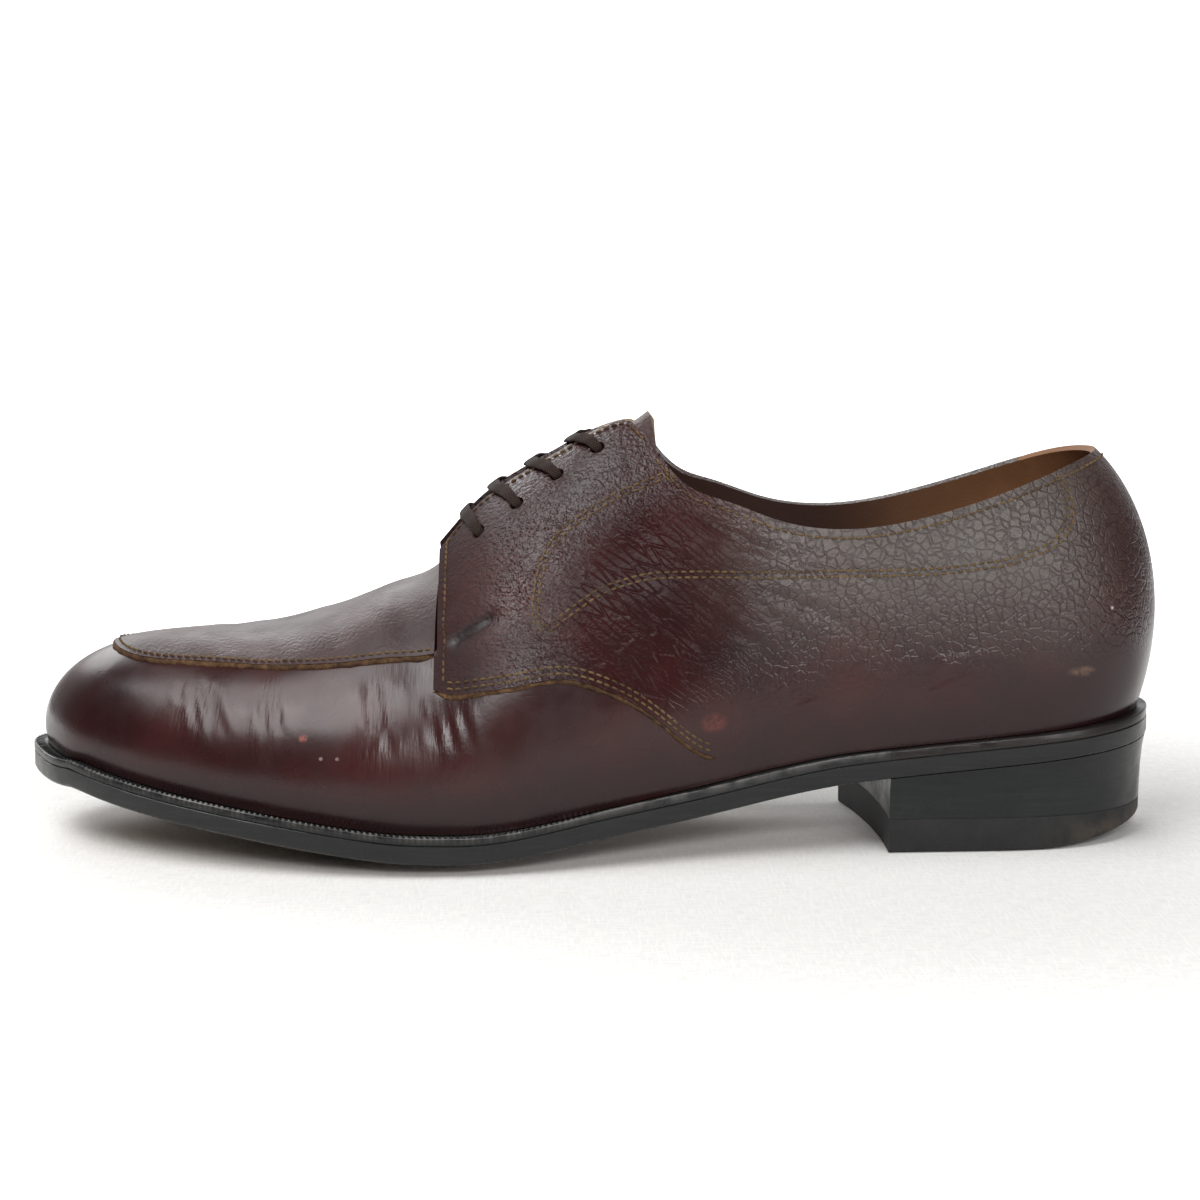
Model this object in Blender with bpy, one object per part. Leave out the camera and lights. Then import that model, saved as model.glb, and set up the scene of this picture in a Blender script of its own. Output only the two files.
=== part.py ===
"""Left apron-toe derby in brown grain leather, standing empty on a welted leather sole with a stacked heel.

Tables and sizes are in millimetres. The toe points to -X, the lateral side is -Y and +Z is up.
"along" is a share of the shoe's length, from 0 at the back of the heel to 1 at the tip of the toe.
A "rib" is the line over the last from the featherline up to the ridge, and "share" is the place on a rib.
"""

import bmesh
import bpy
import numpy as np

MM = 0.001

# Driving sizes of the last and the sole.
LENGTH = 306.0
BALL_WIDTH = 95.0
INSTEP_HEIGHT = 112.0
HEEL_HEIGHT = 27.0
TOE_SPRING = 17.5

# Thicknesses and clearances.
GAP = 0.3
OUTSOLE = 5.0
WELT = 2.4
INSOLE = 4.6
WALL = 1.9
OVERLAY = 1.1
TONGUE = 2.2
TOP_LIFT = 9.2
LACE_WIDTH = 3.8
LACE_THICKNESS = 1.1
EYELET_DIAMETER = 4.2
FEATHER_RISE = OUTSOLE + WELT + 2 * GAP

# The tread is flat under the ball, rises to the toe, and rises through the waist to the heel seat.
BALL_BACK, BALL_FRONT = 0.620, 0.660
TOE_CURVE = 1.5
SEAT_FRONT = 0.270
SEAT_SLOPE = 0.088
SEAT_HEIGHT = HEEL_HEIGHT - SEAT_SLOPE * SEAT_FRONT * LENGTH

# The breast of the heel is cut askew, further forward on the medial side, and slightly hollow.
BREAST_LATERAL, BREAST_MEDIAL, BREAST_HOLLOW = 0.245, 0.266, 2.0
HEEL_INSET, HEEL_WAIST, HEEL_TAPER = 0.3, 1.0, 1.2

# The top lift is worn away at the back.
WEAR, WEAR_START, WEAR_CURVE = 5.0, 0.105, 1.3

# Small bevels and steps of the sole's edges.
TREAD_BEVEL, EDGE_BEVEL, WELT_BEVEL, WELT_STEP = 0.8, 0.2, 0.5, 0.05
INSOLE_INSET, WELT_INSET = WALL + 0.9, WALL + 0.55

# The facings are free of the vamp from the slit upwards, and stand clear of it there.
SLIT, SLIT_GAP = 0.640, 0.0025
FACING_LIFT, FACING_BACK, FACING_LEAN = 4.0, 0.530, 0.010

LATERAL, MEDIAL = -1, 1
UP = np.array((0.0, 0.0, 1.0))

# Featherline of the upper in plan, as shares of the ball width to either side of the long axis.
FEATHERLINE = {
    "along": (0.0085, 0.017, 0.042, 0.085, 0.150, 0.230, 0.310, 0.395, 0.460, 0.525,
              0.590, 0.657, 0.722, 0.788, 0.853, 0.912, 0.942, 0.964, 0.982, 0.9908),
    "lateral": (0.000, 0.116, 0.221, 0.295, 0.326, 0.332, 0.347, 0.379, 0.421, 0.468,
                0.505, 0.516, 0.495, 0.447, 0.372, 0.272, 0.200, 0.128, 0.034, -0.055),
    "medial": (0.000, 0.116, 0.221, 0.292, 0.318, 0.298, 0.263, 0.242, 0.272, 0.342,
               0.415, 0.468, 0.490, 0.479, 0.438, 0.368, 0.302, 0.234, 0.143, 0.055),
}

# Rise of the sole's edges over its middle, from the curve across the bottom of the last.
CAMBER = {
    "along": (0.000, 0.260, 0.410, 0.500, 0.600, 0.700, 0.800, 0.900, 1.010),
    "rise": (0.0, 0.0, 0.6, 3.2, 3.2, 4.0, 4.2, 2.8, 1.8),
}
FLAT_SHARE = 0.45
TIP_WIDTH = 24.0

# How far the sole's edge stands out from the featherline.
SOLE_EDGE = {
    "along": (0.010, 0.120, 0.240, 0.400, 0.600, 0.800, 0.991),
    "lateral": (2.8, 2.3, 2.2, 2.8, 4.6, 4.8, 3.8),
    "medial": (2.8, 2.1, 1.7, 1.7, 3.6, 4.4, 3.8),
}

# Ridge of the last: its shift to the medial side, and its height as a share of the instep height.
RIDGE = {
    "along": (0.130, 0.220, 0.340, 0.430, 0.493, 0.556, 0.591, 0.617, 0.640, 0.673, 0.706, 0.739,
              0.771, 0.804, 0.837, 0.890),
    "shift": (0.0, 0.0, 0.0, 0.5, 1.0, 1.5, 2.0, 2.2, 2.5, 3.0, 3.2, 3.5, 4.0, 4.0, 4.0, 4.5),
    "height": (1.027, 1.060, 1.075, 1.058, 1.000, 0.878, 0.785, 0.695, 0.636, 0.601, 0.563, 0.533,
               0.508, 0.495, 0.489, 0.478),
}

# Shape of the ribs: where each meets the ridge, how far its side handle stands out on either side, how high
# that handle is as a share of the rise, and how long its crown handle is as a share of the reach.
RIBS = {
    "along": (0.0085, 0.085, 0.230, 0.395, 0.525, 0.640, 0.722, 0.853, 0.951, 0.9908),
    "ridge": (0.131, 0.156, 0.245, 0.385, 0.500, 0.632, 0.708, 0.815, 0.872, 0.885),
    "lateral": (13.5, 10.0, 5.0, 5.0, 5.0, 6.0, 6.0, 5.0, 4.0, 4.0),
    "medial": (13.5, 10.0, 7.0, 13.0, 9.0, 6.0, 5.0, 5.0, 4.0, 4.0),
    "rise": (0.50, 0.48, 0.45, 0.45, 0.47, 0.52, 0.55, 0.56, 0.55, 0.55),
    "crown": (0.81, 0.80, 0.82, 0.70, 0.55, 0.55, 0.58, 0.60, 0.60, 0.60),
}

# Edge of the collar seen from the side, as a share of the instep height.
COLLAR = {
    "along": (0.036, 0.060, 0.085, 0.118, 0.160, 0.200, 0.248, 0.300, 0.346, 0.392, 0.428, 0.448, 0.464, 0.480),
    "height": (0.946, 0.935, 0.915, 0.883, 0.843, 0.811, 0.783, 0.776, 0.799, 0.844, 0.888, 0.953, 1.002, 1.021),
}

# Half width of the throat between the facings, with a rounded corner where they start.
THROAT = {
    "along": (0.450, 0.500, 0.580, 0.610, 0.625, 0.645),
    "half": (9.0, 8.5, 7.0, 6.8, 9.5, 18.0),
}

# Lower edge of the quarters, as a share of the rib. In front of the slit, and where the step of the overlay
# has faded out at the welt, the line only orders the mesh.
QUARTER_EDGE = {
    "along": (0.010, 0.200, 0.300, 0.360, 0.392, 0.412, 0.438, 0.464, 0.499, 0.534, 0.568, 0.610,
              0.631, 0.644, 0.700, 0.800, 0.900, 0.991),
    "share": (0.200, 0.200, 0.150, 0.080, 0.050, 0.070, 0.125, 0.178, 0.231, 0.271, 0.291, 0.333,
              0.376, 0.415, 0.420, 0.450, 0.470, 0.550),
}
STEP_ENDS, STEP_FULL = 0.385, 0.440

# Edge of the apron, as a share of the rib. Behind the slit the line only orders the mesh.
APRON_EDGE = {
    "along": (0.010, 0.300, 0.392, 0.464, 0.534, 0.610, 0.644, 0.689, 0.734, 0.763, 0.812, 0.863,
              0.919, 0.939, 0.966, 0.991),
    "share": (0.400, 0.330, 0.250, 0.330, 0.400, 0.470, 0.522, 0.554, 0.581, 0.599, 0.637, 0.659,
              0.667, 0.682, 0.719, 0.765),
}

# Depth of the tongue under the form: along its middle, and at its sides.
TONGUE_DEPTH = {
    "along": (0.455, 0.475, 0.500, 0.600, 0.630, 0.670),
    "middle": (-1.0, 1.8, 3.9, 3.9, 3.0, 2.4),
    "side": (3.9, 3.9, 3.9, 3.9, 3.0, 2.4),
}
TONGUE_FRONT, TONGUE_END, TONGUE_SLANT, TONGUE_SIDE = 0.668, 0.476, 0.016, 0.76

# Eyelets of one facing from the vamp upwards, and where the lace from each crosses the edge of the facing.
EYELETS = {
    "along": (0.606, 0.577, 0.546, 0.513),
    "share": (0.777, 0.765, 0.773, 0.789),
    "crossing": (0.616, 0.594, 0.565, 0.532),
}

# A lace from its end inside the eyelet to the facing's edge: the place on that way, the height over the leather,
# and the share of the lace's width to which the eyelet draws it in.
LACE_RUN = {
    "part": (0.00, 0.00, 0.03, 0.22, 0.55, 0.85, 1.05),
    "height": (-2.6, -1.4, -0.2, 0.95, 0.90, 0.90, 0.60),
    "width": (0.66, 0.66, 0.68, 0.80, 0.94, 1.00, 1.00),
}

# Mesh density: stations along each side, and rows up each rib below, between and above the two edges.
TOE_STATIONS, HEEL_STATIONS = 18, 26
BACK_ROWS, BALL_ROWS, FRONT_ROWS = 18, 1, 11
HEEL_ROWS, WELT_ROWS, RAND_ROWS, TONGUE_ROWS, LACE_RINGS = 10, 26, 10, 12, 19
WALL_ROWS, BAND_ROWS, TOP_ROWS = 4, 2, 7
ACROSS = np.array((-1.0, -0.85, -0.68, -0.45, 0.0, 0.45, 0.68, 0.85, 1.0))
HOLE_SIDES = 16


def spline(xs, ys):
    """Natural cubic spline through the rows of a table, as a function."""
    xs, ys = np.asarray(xs, float), np.asarray(ys, float)
    step = np.diff(xs)
    slope = np.diff(ys) / step
    matrix = np.eye(len(xs))
    bend = np.zeros(len(xs))
    for i in range(1, len(xs) - 1):
        matrix[i, i - 1:i + 2] = step[i - 1], 2 * (step[i - 1] + step[i]), step[i]
        bend[i] = 6 * (slope[i] - slope[i - 1])
    bend = np.linalg.solve(matrix, bend)

    def at(x):
        x = np.clip(np.asarray(x, float), xs[0], xs[-1])
        i = np.clip(np.searchsorted(xs, x) - 1, 0, len(step) - 1)
        a, b, h = xs[i + 1] - x, x - xs[i], step[i]
        cubic = (bend[i] * (a ** 3 - h * h * a) + bend[i + 1] * (b ** 3 - h * h * b)) / (6 * h)
        return cubic + (ys[i] * a + ys[i + 1] * b) / h

    return at


def columns(table):
    """Each column of a table as a smooth function of its "along" column."""
    return {name: spline(table["along"], table[name]) for name in table if name != "along"}


def smoothstep(low, high, x):
    t = np.clip((x - low) / (high - low), 0.0, 1.0)
    return t * t * (3 - 2 * t)


def unit(vectors):
    return vectors / np.linalg.norm(vectors, axis=-1, keepdims=True)


def x_of(along):
    return LENGTH * (0.5 - along)


def along_of(x):
    return 0.5 - x / LENGTH


def tread(along):
    """Height of the sole's under side over the floor, along its middle."""
    along = np.asarray(along, float)
    toe = TOE_SPRING * np.clip((along - BALL_FRONT) / (1 - BALL_FRONT), 0, None) ** TOE_CURVE
    waist_length = (BALL_BACK - SEAT_FRONT) * LENGTH
    t = np.clip((BALL_BACK - along) / (BALL_BACK - SEAT_FRONT), 0, 1)
    waist = SEAT_HEIGHT * t * t * (3 - 2 * t) + SEAT_SLOPE * waist_length * (t ** 3 - t ** 2)
    seat = SEAT_SLOPE * LENGTH * np.clip(SEAT_FRONT - along, 0, None)
    return toe + waist + seat


def featherline_loop(samples=6000, wrap=5):
    """Dense closed loop of the featherline in plan, as points and outward normals."""
    x = x_of(np.array(FEATHERLINE["along"]))
    lateral = np.stack([x, -BALL_WIDTH * np.array(FEATHERLINE["lateral"])], 1)
    medial = np.stack([x, BALL_WIDTH * np.array(FEATHERLINE["medial"])], 1)
    points = np.concatenate([lateral, medial[-2:0:-1]])
    points = np.concatenate([points[-wrap:], points, points[:wrap + 1]])
    knots = np.concatenate([[0], np.cumsum(np.linalg.norm(np.diff(points, axis=0), axis=1))])
    t = np.linspace(knots[wrap], knots[-wrap - 1], samples, endpoint=False)
    loop = np.stack([spline(knots, points[:, 0])(t), spline(knots, points[:, 1])(t)], 1)
    ahead = np.roll(loop, -1, 0) - np.roll(loop, 1, 0)
    return loop, unit(np.stack([-ahead[:, 1], ahead[:, 0]], 1))


def featherline_sides():
    """For each side, rows of along, y, normal x and normal y, from the heel to the toe."""
    loop, normal = featherline_loop()
    heel = np.argmax(loop[:, 0])
    order = np.roll(np.arange(len(loop)), -heel)
    toe = np.argmin(loop[order, 0])
    rows = np.column_stack([along_of(loop[:, 0]), loop[:, 1], normal])[order]
    return {LATERAL: rows[:toe + 1], MEDIAL: np.concatenate([rows[toe:], rows[:1]])[::-1]}


SIDES = featherline_sides()
HEEL_BACK, TOE_TIP = SIDES[LATERAL][0, 0], SIDES[LATERAL][-1, 0]
RIDGE_AT, RIB_AT, COLLAR_AT, THROAT_AT = map(columns, (RIDGE, RIBS, COLLAR, THROAT))
QUARTER_AT, APRON_AT, TONGUE_AT = map(columns, (QUARTER_EDGE, APRON_EDGE, TONGUE_DEPTH))
EDGE_AT, CAMBER_AT = map(columns, (SOLE_EDGE, CAMBER))


def side_name(side):
    return "lateral" if side == LATERAL else "medial"


def outline(side, along, reach):
    """Points of the featherline in plan, set out by reach."""
    rows = SIDES[side]
    y, normal_x, normal_y = (np.interp(along, rows[:, 0], rows[:, i]) for i in (1, 2, 3))
    return x_of(along) + normal_x * reach, y + normal_y * reach


def sole_reach(side, along):
    """How far the sole's edge stands out from the featherline."""
    return EDGE_AT[side_name(side)](along)


def sole_height(x, y):
    """Height of the sole's under side over the floor at a place in plan."""
    along = along_of(np.asarray(x, float))
    inside = np.clip(along, HEEL_BACK, TOE_TIP)
    lateral, medial = (outline(side, inside, sole_reach(side, inside))[1] for side in (LATERAL, MEDIAL))
    reach = np.abs(y - (lateral + medial) / 2) / np.maximum((medial - lateral) / 2, TIP_WIDTH)
    rise = np.clip((reach - FLAT_SHARE) / (1 - FLAT_SHARE), 0, 1) ** 2
    return tread(along) + CAMBER_AT["rise"](along) * rise


def form(side, along, share, lean=0.0):
    """Points on the last: a cubic curve over each rib, before overlays and the lift of the facings."""
    along, share = np.broadcast_arrays(np.asarray(along, float), np.asarray(share, float))
    x, y = outline(side, along, 0.0)
    foot = np.stack([x, y, sole_height(x, y) + FEATHER_RISE], -1)
    top = RIB_AT["ridge"](along) - lean * FACING_LEAN * smoothstep(FACING_BACK, SLIT, along)
    ridge = np.stack([x_of(top), RIDGE_AT["shift"](top), INSTEP_HEIGHT * RIDGE_AT["height"](top)], -1)
    reach = (ridge - foot) * (1, 1, 0)
    rise = (ridge - foot)[..., 2:]
    bulge = RIB_AT[side_name(side)](along)[..., None]
    low = foot - unit(reach) * bulge + UP * rise * RIB_AT["rise"](along)[..., None]
    high = ridge - reach * RIB_AT["crown"](along)[..., None]
    t = share[..., None]
    return (1 - t) ** 3 * foot + 3 * (1 - t) ** 2 * t * low + 3 * (1 - t) * t * t * high + t ** 3 * ridge


def quarter_form(side, along, share):
    """The form as the quarters follow it: towards the throat their ribs lean back from those of the vamp."""
    return form(side, along, share, smoothstep(APRON_AT["share"](along), 1.0, share))


def normal_of(shape, side, along, share, step=0.002):
    """Outward normals of form or quarter_form."""
    along, share = np.broadcast_arrays(np.asarray(along, float), np.asarray(share, float))
    ahead = shape(side, np.clip(along + step, None, TOE_TIP), share)
    ahead = ahead - shape(side, np.clip(along - step, HEEL_BACK, None), share)
    over = shape(side, along, np.clip(share + step, None, 1)) - shape(side, along, np.clip(share - step, 0, None))
    return unit(np.cross(ahead, over)) * side


def top_share(side, along, samples=800):
    """Share of each rib at the edge of the throat or of the collar, whichever comes first, with a rounded corner."""
    found = []
    shares = np.linspace(0, 1, samples)
    for station in np.atleast_1d(along):
        rib = quarter_form(side, station, shares)
        place = along_of(rib[:, 0])
        to_ridge = np.linalg.norm((rib - rib[-1])[:, :2], axis=1)
        in_throat = THROAT_AT["half"](place) - to_ridge
        over_collar = rib[:, 2] - INSTEP_HEIGHT * COLLAR_AT["height"](place)
        in_front = place > COLLAR["along"][-1]
        past = np.where(in_front, in_throat, np.logaddexp(in_throat, over_collar))
        first = np.argmax(past > 0)
        found.append(np.interp(0, past[first - 1:first + 1], shares[first - 1:first + 1]))
    return np.array(found)


def facing_lift(along, part):
    """How far a facing stands off the last. part runs from 0 at the apron's height to 1 at the throat."""
    return FACING_LIFT * smoothstep(FACING_BACK, SLIT, along) * np.clip(part, 0, 1) ** 1.6


def on_facing(side, along, share, height):
    """A point at a height over the outside of a facing, and the facing's normal there."""
    apron, top = APRON_AT["share"](along), top_share(side, along)[0]
    lift = OVERLAY + facing_lift(along, (share - apron) / (top - apron))
    normal = normal_of(quarter_form, side, along, share)
    return quarter_form(side, along, share) + normal * (lift + height), normal


def side_lengths():
    """Length along the lateral featherline from the heel, and the place of each."""
    rows = SIDES[LATERAL]
    steps = np.hypot(LENGTH * np.diff(rows[:, 0]), np.diff(rows[:, 1]))
    return np.concatenate([[0], np.cumsum(steps)]), rows[:, 0]


def stations(start, end, count):
    """Places evenly spaced along the featherline."""
    lengths, along = side_lengths()
    ends = np.interp((start, end), along, lengths)
    return np.interp(np.linspace(*ends, count + 1), lengths, along)


def make(name, points, faces, material, smooth=True):
    """A mesh object in metres, with welded points and faces that look outwards."""
    mesh = bpy.data.meshes.new(name)
    mesh.from_pydata([tuple(p) for p in np.asarray(points) * MM], [], faces)
    bm = bmesh.new()
    bm.from_mesh(mesh)
    bmesh.ops.remove_doubles(bm, verts=bm.verts, dist=0.002 * MM)
    bmesh.ops.triangulate(bm, faces=bm.faces)
    bmesh.ops.recalc_face_normals(bm, faces=bm.faces)
    bm.to_mesh(mesh)
    bm.free()
    if smooth:
        mesh.shade_smooth()
    mesh.materials.append(material)
    piece = bpy.data.objects.new(name, mesh)
    bpy.context.scene.collection.objects.link(piece)
    return piece


def surface_normals(points, faces):
    """Normals of a sheet at its points, from the faces round each place."""
    place = np.unique(np.round(points, 3), axis=0, return_inverse=True)[1].reshape(-1)
    total = np.zeros_like(points)
    for a, b, c, d in faces:
        total[place[[a, b, c, d]]] += np.cross(points[c] - points[a], points[d] - points[b])
    return unit(total[place])


def rim_faces(faces, count):
    """Faces that join the edge of a sheet to the edge of its copy, whose points come count later."""
    seen = {}
    for face in faces:
        for a, b in zip(face, face[1:] + face[:1]):
            key = frozenset((a, b))
            seen[key] = None if key in seen else (a, b)
    return [[b, a, a + count, b + count] for a, b in filter(None, seen.values())]


def thick_sheet(outer, inner, faces):
    """Points and faces of the solid between a sheet and its copy."""
    count = len(outer)
    back = [[corner + count for corner in face[::-1]] for face in faces]
    return np.concatenate([outer, inner]), faces + back + rim_faces(faces, count)


def grid_faces(index, rows, turned):
    """Four-sided faces between neighbouring rows of point numbers."""
    faces = []
    for first, second in zip(rows, rows[1:]):
        for i in range(len(first) - 1):
            face = [index[first[i]], index[first[i + 1]], index[second[i + 1]], index[second[i]]]
            faces.append(face[::-1] if turned else face)
    return faces


class Sheet:
    """The one sheet that the upper is made from: base points, overlay steps, lifts and four-sided faces.

    Each column is a rib. Its "base" rows run up from the featherline, and its "over" rows lie on the apron or on
    a quarter. The vamp and a quarter share their column at the slit up to the apron's edge.
    """

    def __init__(self):
        self.index, self.base, self.step, self.lift, self.faces = {}, [], [], [], []
        self.front = stations(TOE_TIP, SLIT, TOE_STATIONS)
        self.back = stations(SLIT, HEEL_BACK, HEEL_STATIONS)
        for side in (LATERAL, MEDIAL):
            vamp = [self.column(side, "front", i) for i in range(len(self.front))]
            quarter = [self.column(side, "back", i) for i in range(len(self.back))]
            self.faces += grid_faces(self.index, vamp, side == LATERAL)
            self.faces += grid_faces(self.index, quarter, side == LATERAL)
            edge = slice(WALL_ROWS, WALL_ROWS + BAND_ROWS + 1)
            lower, upper = vamp[-1][edge], quarter[0][WALL_ROWS + 1:][:BAND_ROWS + 1]
            self.faces += grid_faces(self.index, [lower, upper], side == LATERAL)

    def column(self, side, zone, i):
        """Adds the points of one column and returns their keys, from the featherline upwards."""
        places = self.front if zone == "front" else self.back
        along = places[i]
        split = WALL_ROWS + BAND_ROWS if zone == "front" else WALL_ROWS
        last = WALL_ROWS + BAND_ROWS + TOP_ROWS
        keys = []
        for layer, rows in (("base", range(split + 1)), ("over", range(split, last + 1))):
            for row in rows:
                key = self.key(side, zone, i, layer, row)
                keys.append(key)
                if key not in self.index:
                    at_slit = zone == "back" and i == 0 and row > WALL_ROWS + BAND_ROWS
                    self.add(key, side, zone, along - SLIT_GAP * at_slit, layer, row)
        return keys

    def key(self, side, zone, i, layer, row):
        """The same key for a point that two columns share."""
        edge = WALL_ROWS + BAND_ROWS
        if zone == "back" and i == 0 and (layer == "base" or row == edge):
            zone, i = "front", len(self.front) - 1
        at_toe = zone == "front" and i == 0
        at_heel = zone == "back" and i == len(self.back) - 1
        on_ridge = zone == "front" and row == edge + TOP_ROWS
        return (0 if at_toe or at_heel or on_ridge else side), zone, i, layer, row

    def add(self, key, side, zone, along, layer, row):
        low, high = QUARTER_AT["share"](along), APRON_AT["share"](along)
        top = 1.0 if zone == "front" else top_share(side, along)[0]
        edge = WALL_ROWS + BAND_ROWS
        share = np.interp(row, (0, WALL_ROWS, edge, edge + TOP_ROWS), (0, low, high, top))
        part = np.clip((row - edge) / TOP_ROWS, 0, 1)
        self.index[key] = len(self.base)
        self.base.append((form if zone == "front" else quarter_form)(side, along, share))
        self.step.append(OVERLAY * smoothstep(STEP_ENDS, STEP_FULL, along) if layer == "over" else 0.0)
        self.lift.append(facing_lift(along, part) if zone == "back" else 0.0)


def make_upper(material):
    sheet = Sheet()
    base, step, lift = (np.array(values) for values in (sheet.base, sheet.step, sheet.lift))
    normal = surface_normals(base, sheet.faces)
    outer = base + normal * (step + lift)[:, None]
    inner = base + normal * (lift - WALL)[:, None]
    return make("upper", *thick_sheet(outer, inner, sheet.faces), material)


def cut_eyelets(upper):
    """Cuts the eyelets through both facings, each square to its leather."""
    points, faces = [], []
    turn = np.linspace(0, 2 * np.pi, HOLE_SIDES, endpoint=False)
    for side in (LATERAL, MEDIAL):
        for along, share in zip(EYELETS["along"], EYELETS["share"]):
            middle, normal = on_facing(side, along, share, 0.0)
            across = unit(np.cross(normal, UP))
            ring = np.outer(np.cos(turn), across) + np.outer(np.sin(turn), np.cross(normal, across))
            ring = middle + ring * EYELET_DIAMETER / 2
            first = HOLE_SIDES * 2 * (len(faces) // (HOLE_SIDES + 2))
            low, high = (list(range(first + start, first + start + HOLE_SIDES)) for start in (0, HOLE_SIDES))
            points += [*(ring - normal * (WALL + OVERLAY + 1.5)), *(ring + normal * 1.5)]
            faces += [low, high]
            faces += [[low[i - 1], low[i], high[i], high[i - 1]] for i in range(HOLE_SIDES)]
    cutter = make("eyelet_cutter", points, faces, upper.data.materials[0])
    cutter.hide_render = True
    cutter.display_type = "WIRE"
    cut = upper.modifiers.new("eyelets", "BOOLEAN")
    cut.operation = "DIFFERENCE"
    cut.solver = "EXACT"
    cut.object = cutter


def make_tongue(material):
    """A thick sheet under the facings, from below the vamp to a slanted end over the instep."""
    shares = 1 - (1 - TONGUE_SIDE) * np.linspace(1, 0, 6) ** 1.3
    outer, normals = [], []
    for part in np.linspace(0, 1, TONGUE_ROWS + 1):
        for side, places in ((LATERAL, shares), (MEDIAL, shares[-2::-1])):
            end = TONGUE_END - TONGUE_SLANT * (1 - places) / (1 - TONGUE_SIDE)
            along = TONGUE_FRONT + (end - TONGUE_FRONT) * part
            middle = smoothstep(0.82, 0.97, places)
            depth = TONGUE_AT["side"](along) * (1 - middle) + TONGUE_AT["middle"](along) * middle
            normal = normal_of(form, side, along, places)
            outer += list(form(side, along, places) - normal * depth[:, None])
            normals += list(normal)
    outer, normals = np.array(outer), np.array(normals)
    across = 2 * len(shares) - 1
    rows = [list(range(row * across, (row + 1) * across)) for row in range(TONGUE_ROWS + 1)]
    faces = grid_faces(list(range(len(outer))), rows, True)
    normals = surface_normals(outer, faces)
    normals *= np.sign(normals[:, 2:])
    return make("tongue", *thick_sheet(outer, outer - normals * TONGUE, faces), material)


def ring_of(rows, across):
    """Places round the edge of a grid: along the lateral side, over the front, and back."""
    ahead = [(row, 0) for row in range(rows)]
    front = [(rows - 1, i) for i in range(1, across)]
    back = [(row, across - 1) for row in range(rows - 2, -1, -1)]
    return ahead + front + back + [(0, i) for i in range(across - 2, 0, -1)]


def make_slab(name, plan, levels, material):
    """A solid from its lowest to its highest level. Each level has an inset and its height over places in plan."""
    points, rings, caps = [], [], []
    for inset, height in levels:
        x, y = plan(inset)
        grid = np.stack([x, y, height(x, y)], -1)
        ring = ring_of(*x.shape)
        rings.append(list(range(len(points), len(points) + len(ring))))
        points += [grid[place] for place in ring]
        caps.append(grid)
    faces = []
    for low, high in zip(rings, rings[1:]):
        faces += [[low[i - 1], low[i], high[i], high[i - 1]] for i in range(len(low))]
    for grid in (caps[0], caps[-1]):
        index = np.arange(grid[..., 0].size).reshape(grid.shape[:2]) + len(points)
        points += list(grid.reshape(-1, 3))
        faces += grid_faces(list(range(len(points))), index.tolist(), False)
    return make(name, points, faces, material)


def across_points(lateral, medial):
    """Grid in plan between matching points of the two sides."""
    share = (ACROSS + 1) / 2
    return tuple(np.outer(low, 1 - share) + np.outer(high, share) for low, high in zip(lateral, medial))


def over_tread(rise):
    """Height function of a surface that follows the sole's under side."""
    return lambda x, y: sole_height(x, y) + rise


def sole_places():
    """Stations of the sole, with one at each end of the flat under the ball."""
    parts = (
        stations(HEEL_BACK, BALL_BACK, BACK_ROWS),
        stations(BALL_BACK, BALL_FRONT, BALL_ROWS)[1:],
        stations(BALL_FRONT, TOE_TIP, FRONT_ROWS)[1:],
    )
    return np.concatenate(parts)


def make_outsole(material):
    places = sole_places()

    def plan(inset):
        return across_points(*(outline(side, places, sole_reach(side, places) - inset) for side in (LATERAL, MEDIAL)))

    levels = (
        (TREAD_BEVEL, over_tread(0.0)),
        (0.0, over_tread(TREAD_BEVEL)),
        (0.0, over_tread(OUTSOLE - EDGE_BEVEL)),
        (EDGE_BEVEL, over_tread(OUTSOLE)),
    )
    return make_slab("outsole", plan, levels, material)


def make_insole(material):
    places = sole_places()

    def plan(inset):
        return across_points(*(outline(side, places, -INSOLE_INSET - inset) for side in (LATERAL, MEDIAL)))

    levels = ((0.0, over_tread(OUTSOLE + GAP)), (0.0, over_tread(OUTSOLE + GAP + INSOLE)))
    return make_slab("insole", plan, levels, material)


def heel_plan(inset):
    """Grid in plan of the heel, from its back to the hollow, askew breast."""
    lateral, medial = (stations(HEEL_BACK, breast, HEEL_ROWS) for breast in (BREAST_LATERAL, BREAST_MEDIAL))
    ends = zip((LATERAL, MEDIAL), (lateral, medial))
    x, y = across_points(*(outline(side, places, sole_reach(side, places) - inset) for side, places in ends))
    to_front = np.linspace(0, 1, HEEL_ROWS + 1)[:, None] ** 4
    return x + BREAST_HOLLOW * to_front * (1 - ACROSS ** 2), y


def level(height):
    """Height function of a flat surface."""
    return lambda x, y: np.full_like(x, height)


def worn(x, y):
    """Under side of the top lift: flat, then worn away towards the back."""
    return WEAR * np.clip((WEAR_START - along_of(x)) / (WEAR_START - HEEL_BACK), 0, None) ** WEAR_CURVE


def make_heel_stack(material):
    low = TOP_LIFT + GAP
    levels = (
        (HEEL_INSET + HEEL_TAPER, level(low)),
        (HEEL_INSET + HEEL_WAIST, lambda x, y: (low + sole_height(x, y)) / 2),
        (HEEL_INSET, over_tread(-GAP)),
    )
    return make_slab("heel_stack", heel_plan, levels, material)


def make_top_lift(material):
    inset = HEEL_INSET + HEEL_TAPER
    levels = (
        (inset + TREAD_BEVEL, worn),
        (inset, lambda x, y: worn(x, y) + TREAD_BEVEL),
        (inset, level(TOP_LIFT)),
    )
    return make_slab("top_lift", heel_plan, levels, material)


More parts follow.
